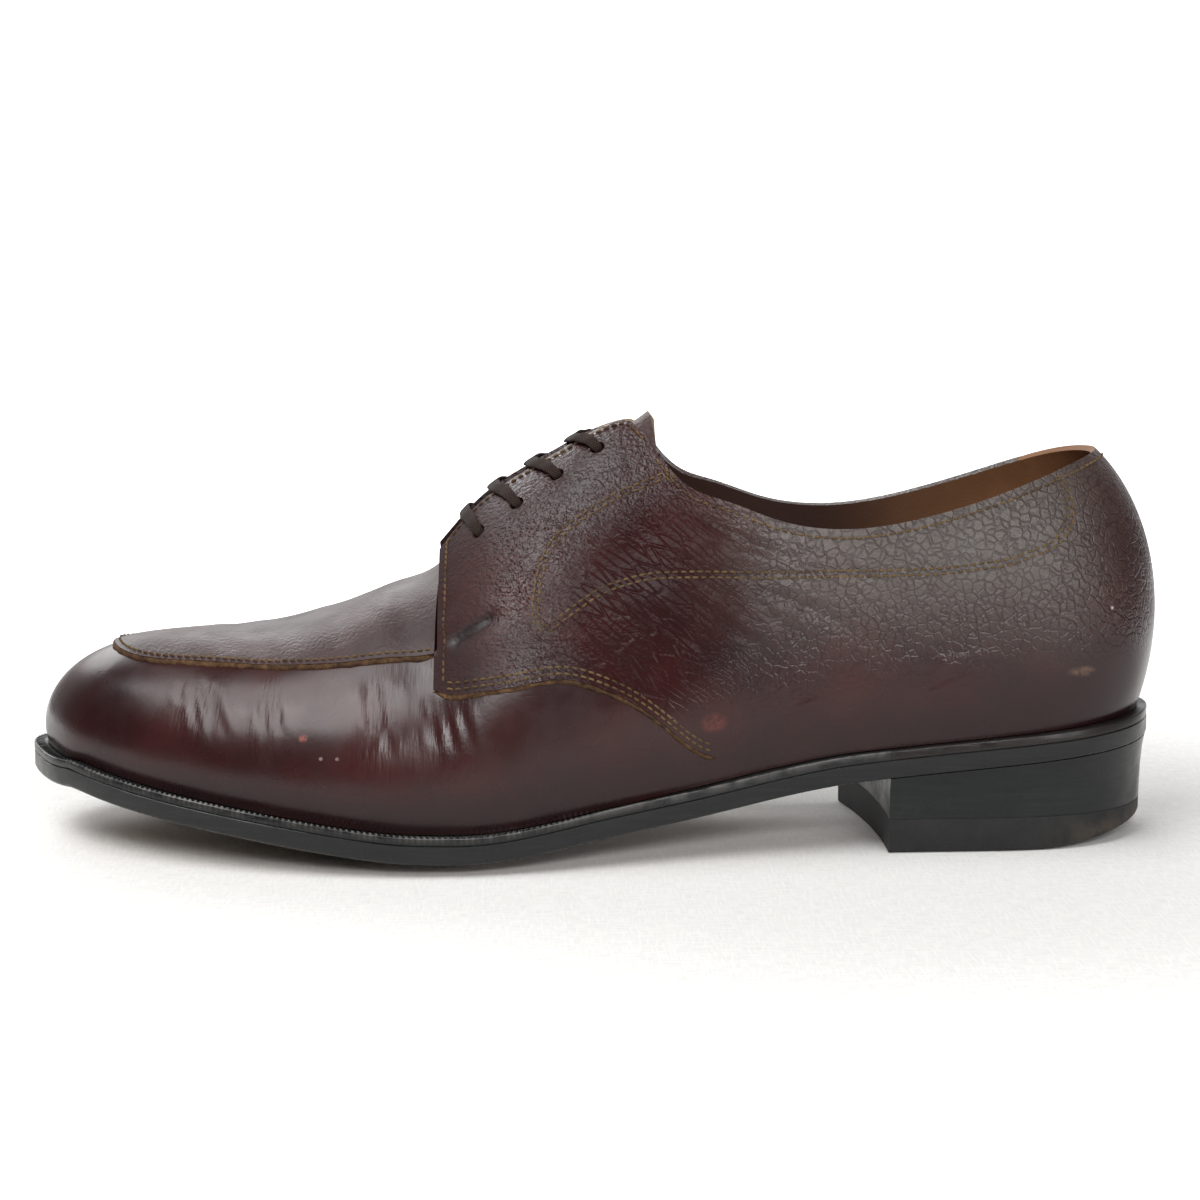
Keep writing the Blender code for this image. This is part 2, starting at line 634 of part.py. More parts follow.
def strip_section(side, along):
    """Section of the welt or the rand at one place: reach from the featherline, and height over the tread."""
    outer = sole_reach(side, along) - WELT_STEP
    low, high = OUTSOLE + GAP, OUTSOLE + GAP + WELT
    return (-WELT_INSET, low), (outer, low), (outer, high - WELT_BEVEL), (outer - WELT_BEVEL, high), (-WELT_INSET, high)


def make_strip(name, run, material):
    """A strip under the upper's edge, through a run of (side, along)."""
    points, rings = [], []
    for side, along in run:
        ring = []
        for reach, height in strip_section(side, along):
            x, y = outline(side, along, reach)
            ring.append(len(points))
            points.append((x, y, sole_height(x, y) + height))
        rings.append(ring)
    faces = [rings[0], rings[-1]]
    for first, second in zip(rings, rings[1:]):
        faces += [[first[i - 1], first[i], second[i], second[i - 1]] for i in range(len(first))]
    return make(name, points, faces, material)


def make_welt(material):
    lateral, medial = (stations(breast, TOE_TIP, WELT_ROWS) for breast in (BREAST_LATERAL, BREAST_MEDIAL))
    run = [(LATERAL, along) for along in lateral] + [(MEDIAL, along) for along in medial[-2::-1]]
    return make_strip("welt", run, material)


def make_heel_rand(material):
    gap = GAP / LENGTH
    lateral, medial = (stations(HEEL_BACK, end - gap, RAND_ROWS) for end in (BREAST_LATERAL, BREAST_MEDIAL))
    run = [(LATERAL, along) for along in lateral[::-1]] + [(MEDIAL, along) for along in medial[1:]]
    return make_strip("heel_rand", run, material)


def lace_side(side, number):
    """Points of a lace on one facing, from inside its eyelet to the facing's edge, and the facing's own direction."""
    along, share, crossing = (EYELETS[name][number] for name in ("along", "share", "crossing"))
    edge = top_share(side, crossing)[0]
    points = []
    for part, height in zip(LACE_RUN["part"], LACE_RUN["height"]):
        place = along + (crossing - along) * part
        points.append(on_facing(side, place, share + (edge - share) * part, height)[0])
    middle = (along + crossing) / 2
    back, front = (on_facing(side, middle + step, share, 0.0)[0] for step in (-0.01, 0.01))
    return points, unit(back - front)


def make_lace_bar(number, material):
    """A flat lace from the lateral eyelet over both facings and down into the medial one."""
    (near, near_width), (far, far_width) = lace_side(LATERAL, number), lace_side(MEDIAL, number)
    points = np.array(near + [(near[-1] + far[-1]) / 2] + far[::-1])
    knots = np.concatenate([[0], np.cumsum(np.linalg.norm(np.diff(points, axis=0), axis=1))])
    path = [spline(knots, points[:, i]) for i in range(3)]
    places = np.linspace(0, knots[-1], LACE_RINGS)
    line = np.stack([axis(places) for axis in path], -1)
    ahead = unit(np.stack([axis(places + 0.2) - axis(places - 0.2) for axis in path], -1))
    drawn_in = np.interp(places, knots, (*LACE_RUN["width"], 1.0, *LACE_RUN["width"][::-1]))[:, None]
    blend = smoothstep(0, knots[-1], places)[:, None]
    wide = near_width * (1 - blend) + far_width * blend
    wide = unit(wide - ahead * (wide * ahead).sum(1, keepdims=True))
    thick = np.cross(ahead, wide)
    half, flat, deep = LACE_WIDTH / 2, LACE_WIDTH / 2 - 0.6, LACE_THICKNESS / 2
    section = ((half, 0.0), (flat, deep), (-flat, deep), (-half, 0.0), (-flat, -deep), (flat, -deep))
    corners = np.stack([line + wide * drawn_in * a + thick * b for a, b in section], 1)
    index = np.arange(corners.size // 3).reshape(corners.shape[:2]).tolist()
    faces = [index[0], index[-1]]
    for first, second in zip(index, index[1:]):
        faces += [[first[i - 1], first[i], second[i], second[i - 1]] for i in range(len(section))]
    return make(f"lace_bar_{number + 1}", corners.reshape(-1, 3), faces, material)


def principled(name, colour, roughness):
    material = bpy.data.materials.new(name)
    material.use_nodes = True
    shader = material.node_tree.nodes["Principled BSDF"]
    shader.inputs["Base Color"].default_value = (*colour, 1.0)
    shader.inputs["Roughness"].default_value = roughness
    shader.inputs["Metallic"].default_value = 0.0
    return material


def clear_scene():
    for thing in list(bpy.data.objects):
        bpy.data.objects.remove(thing, do_unlink=True)


def make_shoe():
    upper = make_upper(principled("upper_leather", (0.055, 0.018, 0.016), 0.35))
    cut_eyelets(upper)
    pieces = [
        upper,
        make_tongue(principled("tongue_leather", (0.060, 0.024, 0.020), 0.50)),
        make_insole(principled("insole_leather", (0.300, 0.170, 0.090), 0.60)),
        make_welt(principled("welt_leather", (0.020, 0.020, 0.021), 0.45)),
        make_heel_rand(principled("heel_rand_leather", (0.022, 0.018, 0.017), 0.45)),
        make_outsole(principled("outsole_leather", (0.020, 0.021, 0.022), 0.50)),
        make_heel_stack(principled("heel_stack_leather", (0.018, 0.018, 0.019), 0.45)),
        make_top_lift(principled("top_lift_rubber", (0.015, 0.015, 0.016), 0.70)),
    ]
    for number in range(len(EYELETS["along"])):
        colour = principled(f"lace_{number + 1}_cotton", (0.040, 0.026, 0.022), 0.80)
        pieces.append(make_lace_bar(number, colour))
    return pieces


def centre(pieces):
    """Puts all pieces under one empty, so that the middle of the shoe's box is over the origin."""
    points = np.concatenate([[vertex.co for vertex in piece.data.vertices] for piece in pieces])
    shoe = bpy.data.objects.new("shoe", None)
    bpy.context.scene.collection.objects.link(shoe)
    middle = (points.min(0) + points.max(0)) / 2
    shoe.location = (-middle[0], -middle[1], -points[:, 2].min())
    for thing in list(bpy.data.objects):
        if thing.type == "MESH":
            thing.parent = shoe


clear_scene()
centre(make_shoe())
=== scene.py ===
"""Dressing of the left apron-toe derby: grain leather upper, stitches, wheeled welt, stacked heel and laces.

Tables and sizes are in millimetres, in the last's own frame, and SHIFT moves them to the row's frame.
The toe points to -X, the lateral side is -Y and +Z is up.
"along" is a share of the shoe's length, from 0 at the back of the heel to 1 at the tip of the toe.
A "rib" is the line over the last from the featherline up to the ridge, and "share" is the place on a rib.
"""

import bmesh
import bpy
import numpy as np
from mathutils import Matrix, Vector


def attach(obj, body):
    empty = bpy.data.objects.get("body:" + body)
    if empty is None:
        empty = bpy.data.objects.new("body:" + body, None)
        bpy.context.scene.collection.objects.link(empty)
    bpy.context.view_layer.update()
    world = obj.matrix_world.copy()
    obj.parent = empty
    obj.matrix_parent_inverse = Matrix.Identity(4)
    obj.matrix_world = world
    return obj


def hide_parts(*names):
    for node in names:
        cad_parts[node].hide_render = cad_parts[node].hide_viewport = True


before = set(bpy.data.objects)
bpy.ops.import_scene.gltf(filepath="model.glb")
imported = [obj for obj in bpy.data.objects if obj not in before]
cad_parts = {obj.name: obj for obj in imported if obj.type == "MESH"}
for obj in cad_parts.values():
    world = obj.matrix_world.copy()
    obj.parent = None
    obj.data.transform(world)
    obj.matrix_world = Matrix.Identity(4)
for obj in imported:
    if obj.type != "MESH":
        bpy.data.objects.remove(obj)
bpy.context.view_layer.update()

MM = 0.001

# From the last's frame to the row's frame, whose origin is under the middle of the shoe's box.
SHIFT = np.array((-0.307, 1.501, 0.0))

# Driving sizes of the last and the sole.
LENGTH = 306.0
BALL_WIDTH = 95.0
INSTEP_HEIGHT = 112.0
HEEL_HEIGHT = 27.0
TOE_SPRING = 17.5

# Thicknesses and clearances.
GAP = 0.3
OUTSOLE = 5.0
WELT = 2.4
INSOLE = 4.6
WALL = 1.9
OVERLAY = 1.1
TONGUE = 2.2
TOP_LIFT = 9.2
LACE_WIDTH = 3.8
LACE_THICKNESS = 1.1
EYELET_DIAMETER = 4.2
FEATHER_RISE = OUTSOLE + WELT + 2 * GAP

# The tread is flat under the ball, rises to the toe, and rises through the waist to the heel seat.
BALL_BACK, BALL_FRONT = 0.620, 0.660
TOE_CURVE = 1.5
SEAT_FRONT = 0.270
SEAT_SLOPE = 0.088
SEAT_HEIGHT = HEEL_HEIGHT - SEAT_SLOPE * SEAT_FRONT * LENGTH

# The breast of the heel is cut askew, further forward on the medial side, and slightly hollow.
BREAST_LATERAL, BREAST_MEDIAL, BREAST_HOLLOW = 0.245, 0.266, 2.0
HEEL_INSET, HEEL_WAIST, HEEL_TAPER = 0.3, 1.0, 1.2

# The top lift is worn away at the back.
WEAR, WEAR_START, WEAR_CURVE = 5.0, 0.105, 1.3

# Small bevels and steps of the sole's edges.
TREAD_BEVEL, WELT_STEP = 0.8, 0.05
INSOLE_INSET, WELT_INSET = WALL + 0.9, WALL + 0.55

# The facings are free of the vamp from the slit upwards, and stand clear of it there.
SLIT, SLIT_GAP = 0.640, 0.0025
FACING_LIFT, FACING_BACK, FACING_LEAN = 4.0, 0.530, 0.010

LATERAL, MEDIAL = -1, 1
UP = np.array((0.0, 0.0, 1.0))

# Featherline of the upper in plan, as shares of the ball width to either side of the long axis.
FEATHERLINE = {
    "along": (0.0085, 0.017, 0.042, 0.085, 0.150, 0.230, 0.310, 0.395, 0.460, 0.525,
              0.590, 0.657, 0.722, 0.788, 0.853, 0.912, 0.942, 0.964, 0.982, 0.9908),
    "lateral": (0.000, 0.116, 0.221, 0.295, 0.326, 0.332, 0.347, 0.379, 0.421, 0.468,
                0.505, 0.516, 0.495, 0.447, 0.372, 0.272, 0.200, 0.128, 0.034, -0.055),
    "medial": (0.000, 0.116, 0.221, 0.292, 0.318, 0.298, 0.263, 0.242, 0.272, 0.342,
               0.415, 0.468, 0.490, 0.479, 0.438, 0.368, 0.302, 0.234, 0.143, 0.055),
}

# Rise of the sole's edges over its middle, from the curve across the bottom of the last.
CAMBER = {
    "along": (0.000, 0.260, 0.410, 0.500, 0.600, 0.700, 0.800, 0.900, 1.010),
    "rise": (0.0, 0.0, 0.6, 3.2, 3.2, 4.0, 4.2, 2.8, 1.8),
}
FLAT_SHARE = 0.45
TIP_WIDTH = 24.0

# How far the sole's edge stands out from the featherline.
SOLE_EDGE = {
    "along": (0.010, 0.120, 0.240, 0.400, 0.600, 0.800, 0.991),
    "lateral": (2.8, 2.3, 2.2, 2.8, 4.6, 4.8, 3.8),
    "medial": (2.8, 2.1, 1.7, 1.7, 3.6, 4.4, 3.8),
}

# Ridge of the last: its shift to the medial side, and its height as a share of the instep height.
RIDGE = {
    "along": (0.130, 0.220, 0.340, 0.430, 0.493, 0.556, 0.591, 0.617, 0.640, 0.673, 0.706, 0.739,
              0.771, 0.804, 0.837, 0.890),
    "shift": (0.0, 0.0, 0.0, 0.5, 1.0, 1.5, 2.0, 2.2, 2.5, 3.0, 3.2, 3.5, 4.0, 4.0, 4.0, 4.5),
    "height": (1.027, 1.060, 1.075, 1.058, 1.000, 0.878, 0.785, 0.695, 0.636, 0.601, 0.563, 0.533,
               0.508, 0.495, 0.489, 0.478),
}

# Shape of the ribs: where each meets the ridge, how far its side handle stands out on either side, how high
# that handle is as a share of the rise, and how long its crown handle is as a share of the reach.
RIBS = {
    "along": (0.0085, 0.085, 0.230, 0.395, 0.525, 0.640, 0.722, 0.853, 0.951, 0.9908),
    "ridge": (0.131, 0.156, 0.245, 0.385, 0.500, 0.632, 0.708, 0.815, 0.872, 0.885),
    "lateral": (13.5, 10.0, 5.0, 5.0, 5.0, 6.0, 6.0, 5.0, 4.0, 4.0),
    "medial": (13.5, 10.0, 7.0, 13.0, 9.0, 6.0, 5.0, 5.0, 4.0, 4.0),
    "rise": (0.50, 0.48, 0.45, 0.45, 0.47, 0.52, 0.55, 0.56, 0.55, 0.55),
    "crown": (0.81, 0.80, 0.82, 0.70, 0.55, 0.55, 0.58, 0.60, 0.60, 0.60),
}

# Edge of the collar seen from the side, as a share of the instep height.
COLLAR = {
    "along": (0.036, 0.060, 0.085, 0.118, 0.160, 0.200, 0.248, 0.300, 0.346, 0.392, 0.428,
              0.448, 0.464, 0.480),
    "height": (0.946, 0.935, 0.915, 0.883, 0.843, 0.811, 0.783, 0.776, 0.799, 0.844, 0.888,
               0.953, 1.002, 1.021),
}

# Half width of the throat between the facings, with a rounded corner where they start.
THROAT = {
    "along": (0.450, 0.500, 0.580, 0.610, 0.625, 0.645),
    "half": (9.0, 8.5, 7.0, 6.8, 9.5, 18.0),
}

# Lower edge of the quarters, as a share of the rib. In front of the slit, and where the step of the overlay
# has faded out at the welt, the line only orders the mesh.
QUARTER_EDGE = {
    "along": (0.010, 0.200, 0.300, 0.360, 0.392, 0.412, 0.438, 0.464, 0.499, 0.534, 0.568, 0.610,
              0.631, 0.644, 0.700, 0.800, 0.900, 0.991),
    "share": (0.200, 0.200, 0.150, 0.080, 0.050, 0.070, 0.125, 0.178, 0.231, 0.271, 0.291, 0.333,
              0.376, 0.415, 0.420, 0.450, 0.470, 0.550),
}
STEP_ENDS, STEP_FULL = 0.385, 0.440

# Edge of the apron, as a share of the rib. Behind the slit the line only orders the mesh.
APRON_EDGE = {
    "along": (0.010, 0.300, 0.392, 0.464, 0.534, 0.610, 0.644, 0.689, 0.734, 0.763, 0.812, 0.863,
              0.919, 0.939, 0.966, 0.991),
    "share": (0.400, 0.330, 0.250, 0.330, 0.400, 0.470, 0.522, 0.554, 0.581, 0.599, 0.637, 0.659,
              0.667, 0.682, 0.719, 0.765),
}

# Depth of the tongue under the form: along its middle, and at its sides.
TONGUE_DEPTH = {
    "along": (0.455, 0.475, 0.500, 0.600, 0.630, 0.670),
    "middle": (-1.0, 1.8, 3.9, 3.9, 3.0, 2.4),
    "side": (3.9, 3.9, 3.9, 3.9, 3.0, 2.4),
}
TONGUE_FRONT, TONGUE_END, TONGUE_SLANT, TONGUE_SIDE = 0.668, 0.476, 0.016, 0.76

# Eyelets of one facing from the vamp upwards, and where the lace from each crosses the edge of the facing.
EYELETS = {
    "along": (0.606, 0.577, 0.546, 0.513),
    "share": (0.777, 0.765, 0.773, 0.789),
    "crossing": (0.616, 0.594, 0.565, 0.532),
}

# A lace from its end inside the eyelet to the facing's edge: the place on that way, the height over the
# leather, and the share of the lace's width to which the eyelet draws it in.
LACE_RUN = {
    "part": (0.00, 0.00, 0.03, 0.22, 0.55, 0.85, 1.05),
    "height": (-2.6, -1.4, -0.2, 0.95, 0.90, 0.90, 0.60),
    "width": (0.66, 0.66, 0.68, 0.80, 0.94, 1.00, 1.00),
}

# A lace under a facing between two eyelets: the place on that way, the height over the leather and the
# share of the lace's width.
UNDER_RUN = {
    "part": (0.00, 0.10, 0.50, 0.90, 1.00),
    "height": (-2.70, -3.75, -3.90, -3.75, -2.70),
    "width": (0.50, 0.60, 0.60, 0.60, 0.50),
}

# Which eyelets the hidden runs join on each facing, counted from the vamp upwards.
UNDER_PAIRS = ((LATERAL, 0, 1), (LATERAL, 2, 3), (MEDIAL, 0, 2), (MEDIAL, 1, 3))


def spline(xs, ys):
    """Natural cubic spline through the rows of a table, as a function."""
    xs, ys = np.asarray(xs, float), np.asarray(ys, float)
    step = np.diff(xs)
    slope = np.diff(ys) / step
    matrix = np.eye(len(xs))
    bend = np.zeros(len(xs))
    for i in range(1, len(xs) - 1):
        matrix[i, i - 1:i + 2] = step[i - 1], 2 * (step[i - 1] + step[i]), step[i]
        bend[i] = 6 * (slope[i] - slope[i - 1])
    bend = np.linalg.solve(matrix, bend)

    def at(x):
        x = np.clip(np.asarray(x, float), xs[0], xs[-1])
        i = np.clip(np.searchsorted(xs, x) - 1, 0, len(step) - 1)
        a, b, h = xs[i + 1] - x, x - xs[i], step[i]
        cubic = (bend[i] * (a ** 3 - h * h * a) + bend[i + 1] * (b ** 3 - h * h * b)) / (6 * h)
        return cubic + (ys[i] * a + ys[i + 1] * b) / h

    return at


def columns(table):
    """Each column of a table as a smooth function of its "along" column."""
    return {name: spline(table["along"], table[name]) for name in table if name != "along"}


def smoothstep(low, high, x):
    t = np.clip((x - low) / (high - low), 0.0, 1.0)
    return t * t * (3 - 2 * t)


def unit(vectors):
    return vectors / np.linalg.norm(vectors, axis=-1, keepdims=True)


def lengths_along(points):
    """Length along a line of points, from 0 at its first."""
    return np.concatenate([[0], np.cumsum(np.linalg.norm(np.diff(points, axis=0), axis=1))])


def x_of(along):
    return LENGTH * (0.5 - along)


def along_of(x):
    return 0.5 - x / LENGTH


def tread(along):
    """Height of the sole's under side over the floor, along its middle."""
    along = np.asarray(along, float)
    toe = TOE_SPRING * np.clip((along - BALL_FRONT) / (1 - BALL_FRONT), 0, None) ** TOE_CURVE
    waist_length = (BALL_BACK - SEAT_FRONT) * LENGTH
    t = np.clip((BALL_BACK - along) / (BALL_BACK - SEAT_FRONT), 0, 1)
    waist = SEAT_HEIGHT * t * t * (3 - 2 * t) + SEAT_SLOPE * waist_length * (t ** 3 - t ** 2)
    seat = SEAT_SLOPE * LENGTH * np.clip(SEAT_FRONT - along, 0, None)
    return toe + waist + seat


def featherline_loop(samples=6000, wrap=5):
    """Dense closed loop of the featherline in plan, as points and outward normals."""
    x = x_of(np.array(FEATHERLINE["along"]))
    lateral = np.stack([x, -BALL_WIDTH * np.array(FEATHERLINE["lateral"])], 1)
    medial = np.stack([x, BALL_WIDTH * np.array(FEATHERLINE["medial"])], 1)
    points = np.concatenate([lateral, medial[-2:0:-1]])
    points = np.concatenate([points[-wrap:], points, points[:wrap + 1]])
    knots = lengths_along(points)
    t = np.linspace(knots[wrap], knots[-wrap - 1], samples, endpoint=False)
    loop = np.stack([spline(knots, points[:, 0])(t), spline(knots, points[:, 1])(t)], 1)
    ahead = np.roll(loop, -1, 0) - np.roll(loop, 1, 0)
    return loop, unit(np.stack([-ahead[:, 1], ahead[:, 0]], 1))


def featherline_sides():
    """For each side, rows of along, y, normal x and normal y, from the heel to the toe."""
    loop, normal = featherline_loop()
    heel = np.argmax(loop[:, 0])
    order = np.roll(np.arange(len(loop)), -heel)
    toe = np.argmin(loop[order, 0])
    rows = np.column_stack([along_of(loop[:, 0]), loop[:, 1], normal])[order]
    return {LATERAL: rows[:toe + 1], MEDIAL: np.concatenate([rows[toe:], rows[:1]])[::-1]}


SIDES = featherline_sides()
HEEL_BACK, TOE_TIP = SIDES[LATERAL][0, 0], SIDES[LATERAL][-1, 0]
RIDGE_AT, RIB_AT, COLLAR_AT, THROAT_AT = map(columns, (RIDGE, RIBS, COLLAR, THROAT))
QUARTER_AT, APRON_AT, TONGUE_AT = map(columns, (QUARTER_EDGE, APRON_EDGE, TONGUE_DEPTH))
EDGE_AT, CAMBER_AT = map(columns, (SOLE_EDGE, CAMBER))


def side_name(side):
    return "lateral" if side == LATERAL else "medial"


def outline(side, along, reach):
    """Points of the featherline in plan, set out by reach."""
    rows = SIDES[side]
    y, normal_x, normal_y = (np.interp(along, rows[:, 0], rows[:, i]) for i in (1, 2, 3))
    return x_of(along) + normal_x * reach, y + normal_y * reach


def sole_reach(side, along):
    """How far the sole's edge stands out from the featherline."""
    return EDGE_AT[side_name(side)](along)


def sole_height(x, y):
    """Height of the sole's under side over the floor at a place in plan."""
    along = along_of(np.asarray(x, float))
    inside = np.clip(along, HEEL_BACK, TOE_TIP)
    lateral, medial = (outline(side, inside, sole_reach(side, inside))[1] for side in (LATERAL, MEDIAL))
    reach = np.abs(y - (lateral + medial) / 2) / np.maximum((medial - lateral) / 2, TIP_WIDTH)
    rise = np.clip((reach - FLAT_SHARE) / (1 - FLAT_SHARE), 0, 1) ** 2
    return tread(along) + CAMBER_AT["rise"](along) * rise


def form(side, along, share, lean=0.0):
    """Points on the last: a cubic curve over each rib, before overlays and the lift of the facings."""
    along, share = np.broadcast_arrays(np.asarray(along, float), np.asarray(share, float))
    x, y = outline(side, along, 0.0)
    foot = np.stack([x, y, sole_height(x, y) + FEATHER_RISE], -1)
    top = RIB_AT["ridge"](along) - lean * FACING_LEAN * smoothstep(FACING_BACK, SLIT, along)
    ridge = np.stack([x_of(top), RIDGE_AT["shift"](top), INSTEP_HEIGHT * RIDGE_AT["height"](top)], -1)
    reach = (ridge - foot) * (1, 1, 0)
    rise = (ridge - foot)[..., 2:]
    bulge = RIB_AT[side_name(side)](along)[..., None]
    low = foot - unit(reach) * bulge + UP * rise * RIB_AT["rise"](along)[..., None]
    high = ridge - reach * RIB_AT["crown"](along)[..., None]
    t = share[..., None]
    return (1 - t) ** 3 * foot + 3 * (1 - t) ** 2 * t * low + 3 * (1 - t) * t * t * high + t ** 3 * ridge


def quarter_form(side, along, share):
    """The form as the quarters follow it: towards the throat their ribs lean back from those of the vamp."""
    return form(side, along, share, smoothstep(APRON_AT["share"](along), 1.0, share))


def normal_of(shape, side, along, share, step=0.002):
    """Outward normals of form or quarter_form."""
    along, share = np.broadcast_arrays(np.asarray(along, float), np.asarray(share, float))
    ahead = shape(side, np.clip(along + step, None, TOE_TIP), share)
    ahead = ahead - shape(side, np.clip(along - step, HEEL_BACK, None), share)
    over = shape(side, along, np.clip(share + step, None, 1))
    over = over - shape(side, along, np.clip(share - step, 0, None))
    return unit(np.cross(ahead, over)) * side


def top_share(side, along, samples=800):
    """Share of each rib at the edge of the throat or the collar, whichever is first, with a round corner."""
    found = []
    shares = np.linspace(0, 1, samples)
    for station in np.atleast_1d(along):
        rib = quarter_form(side, station, shares)
        place = along_of(rib[:, 0])
        to_ridge = np.linalg.norm((rib - rib[-1])[:, :2], axis=1)
        in_throat = THROAT_AT["half"](place) - to_ridge
        over_collar = rib[:, 2] - INSTEP_HEIGHT * COLLAR_AT["height"](place)
        in_front = place > COLLAR["along"][-1]
        past = np.where(in_front, in_throat, np.logaddexp(in_throat, over_collar))
        first = np.argmax(past > 0)
        found.append(np.interp(0, past[first - 1:first + 1], shares[first - 1:first + 1]))
    return np.array(found)


def facing_lift(along, part):
    """How far a facing stands off the last. part runs from 0 at the apron's height to 1 at the throat."""
    return FACING_LIFT * smoothstep(FACING_BACK, SLIT, along) * np.clip(part, 0, 1) ** 1.6


def on_facing(side, along, share, height):
    """A point at a height over the outside of a facing, and the facing's normal there."""
    apron, top = APRON_AT["share"](along), top_share(side, along)[0]
    lift = OVERLAY + facing_lift(along, (share - apron) / (top - apron))
    normal = normal_of(quarter_form, side, along, share)
    return quarter_form(side, along, share) + normal * (lift + height), normal


def side_lengths():
    """Length along the lateral featherline from the heel, and the place of each."""
    rows = SIDES[LATERAL]
    return lengths_along(rows[:, :2] * (LENGTH, 1)), rows[:, 0]


def stations(start, end, count):
    """Places evenly spaced along the featherline."""
    lengths, along = side_lengths()
    ends = np.interp((start, end), along, lengths)
    return np.interp(np.linspace(*ends, count + 1), lengths, along)


# Mesh density of the dressed pieces.
TOE_STATIONS, HEEL_STATIONS = 104, 176
WALL_ROWS, BAND_ROWS, TOP_ROWS = 24, 8, 38
SOLE_ROWS, HEEL_ROWS, TONGUE_ROWS, LACE_RINGS, LACE_SIDES = 110, 40, 48, 72, 16
ACROSS = np.array((-1.0, -0.97, -0.85, -0.68, -0.45, 0.0, 0.45, 0.68, 0.85, 0.97, 1.0))
HOLE_SIDES = 24

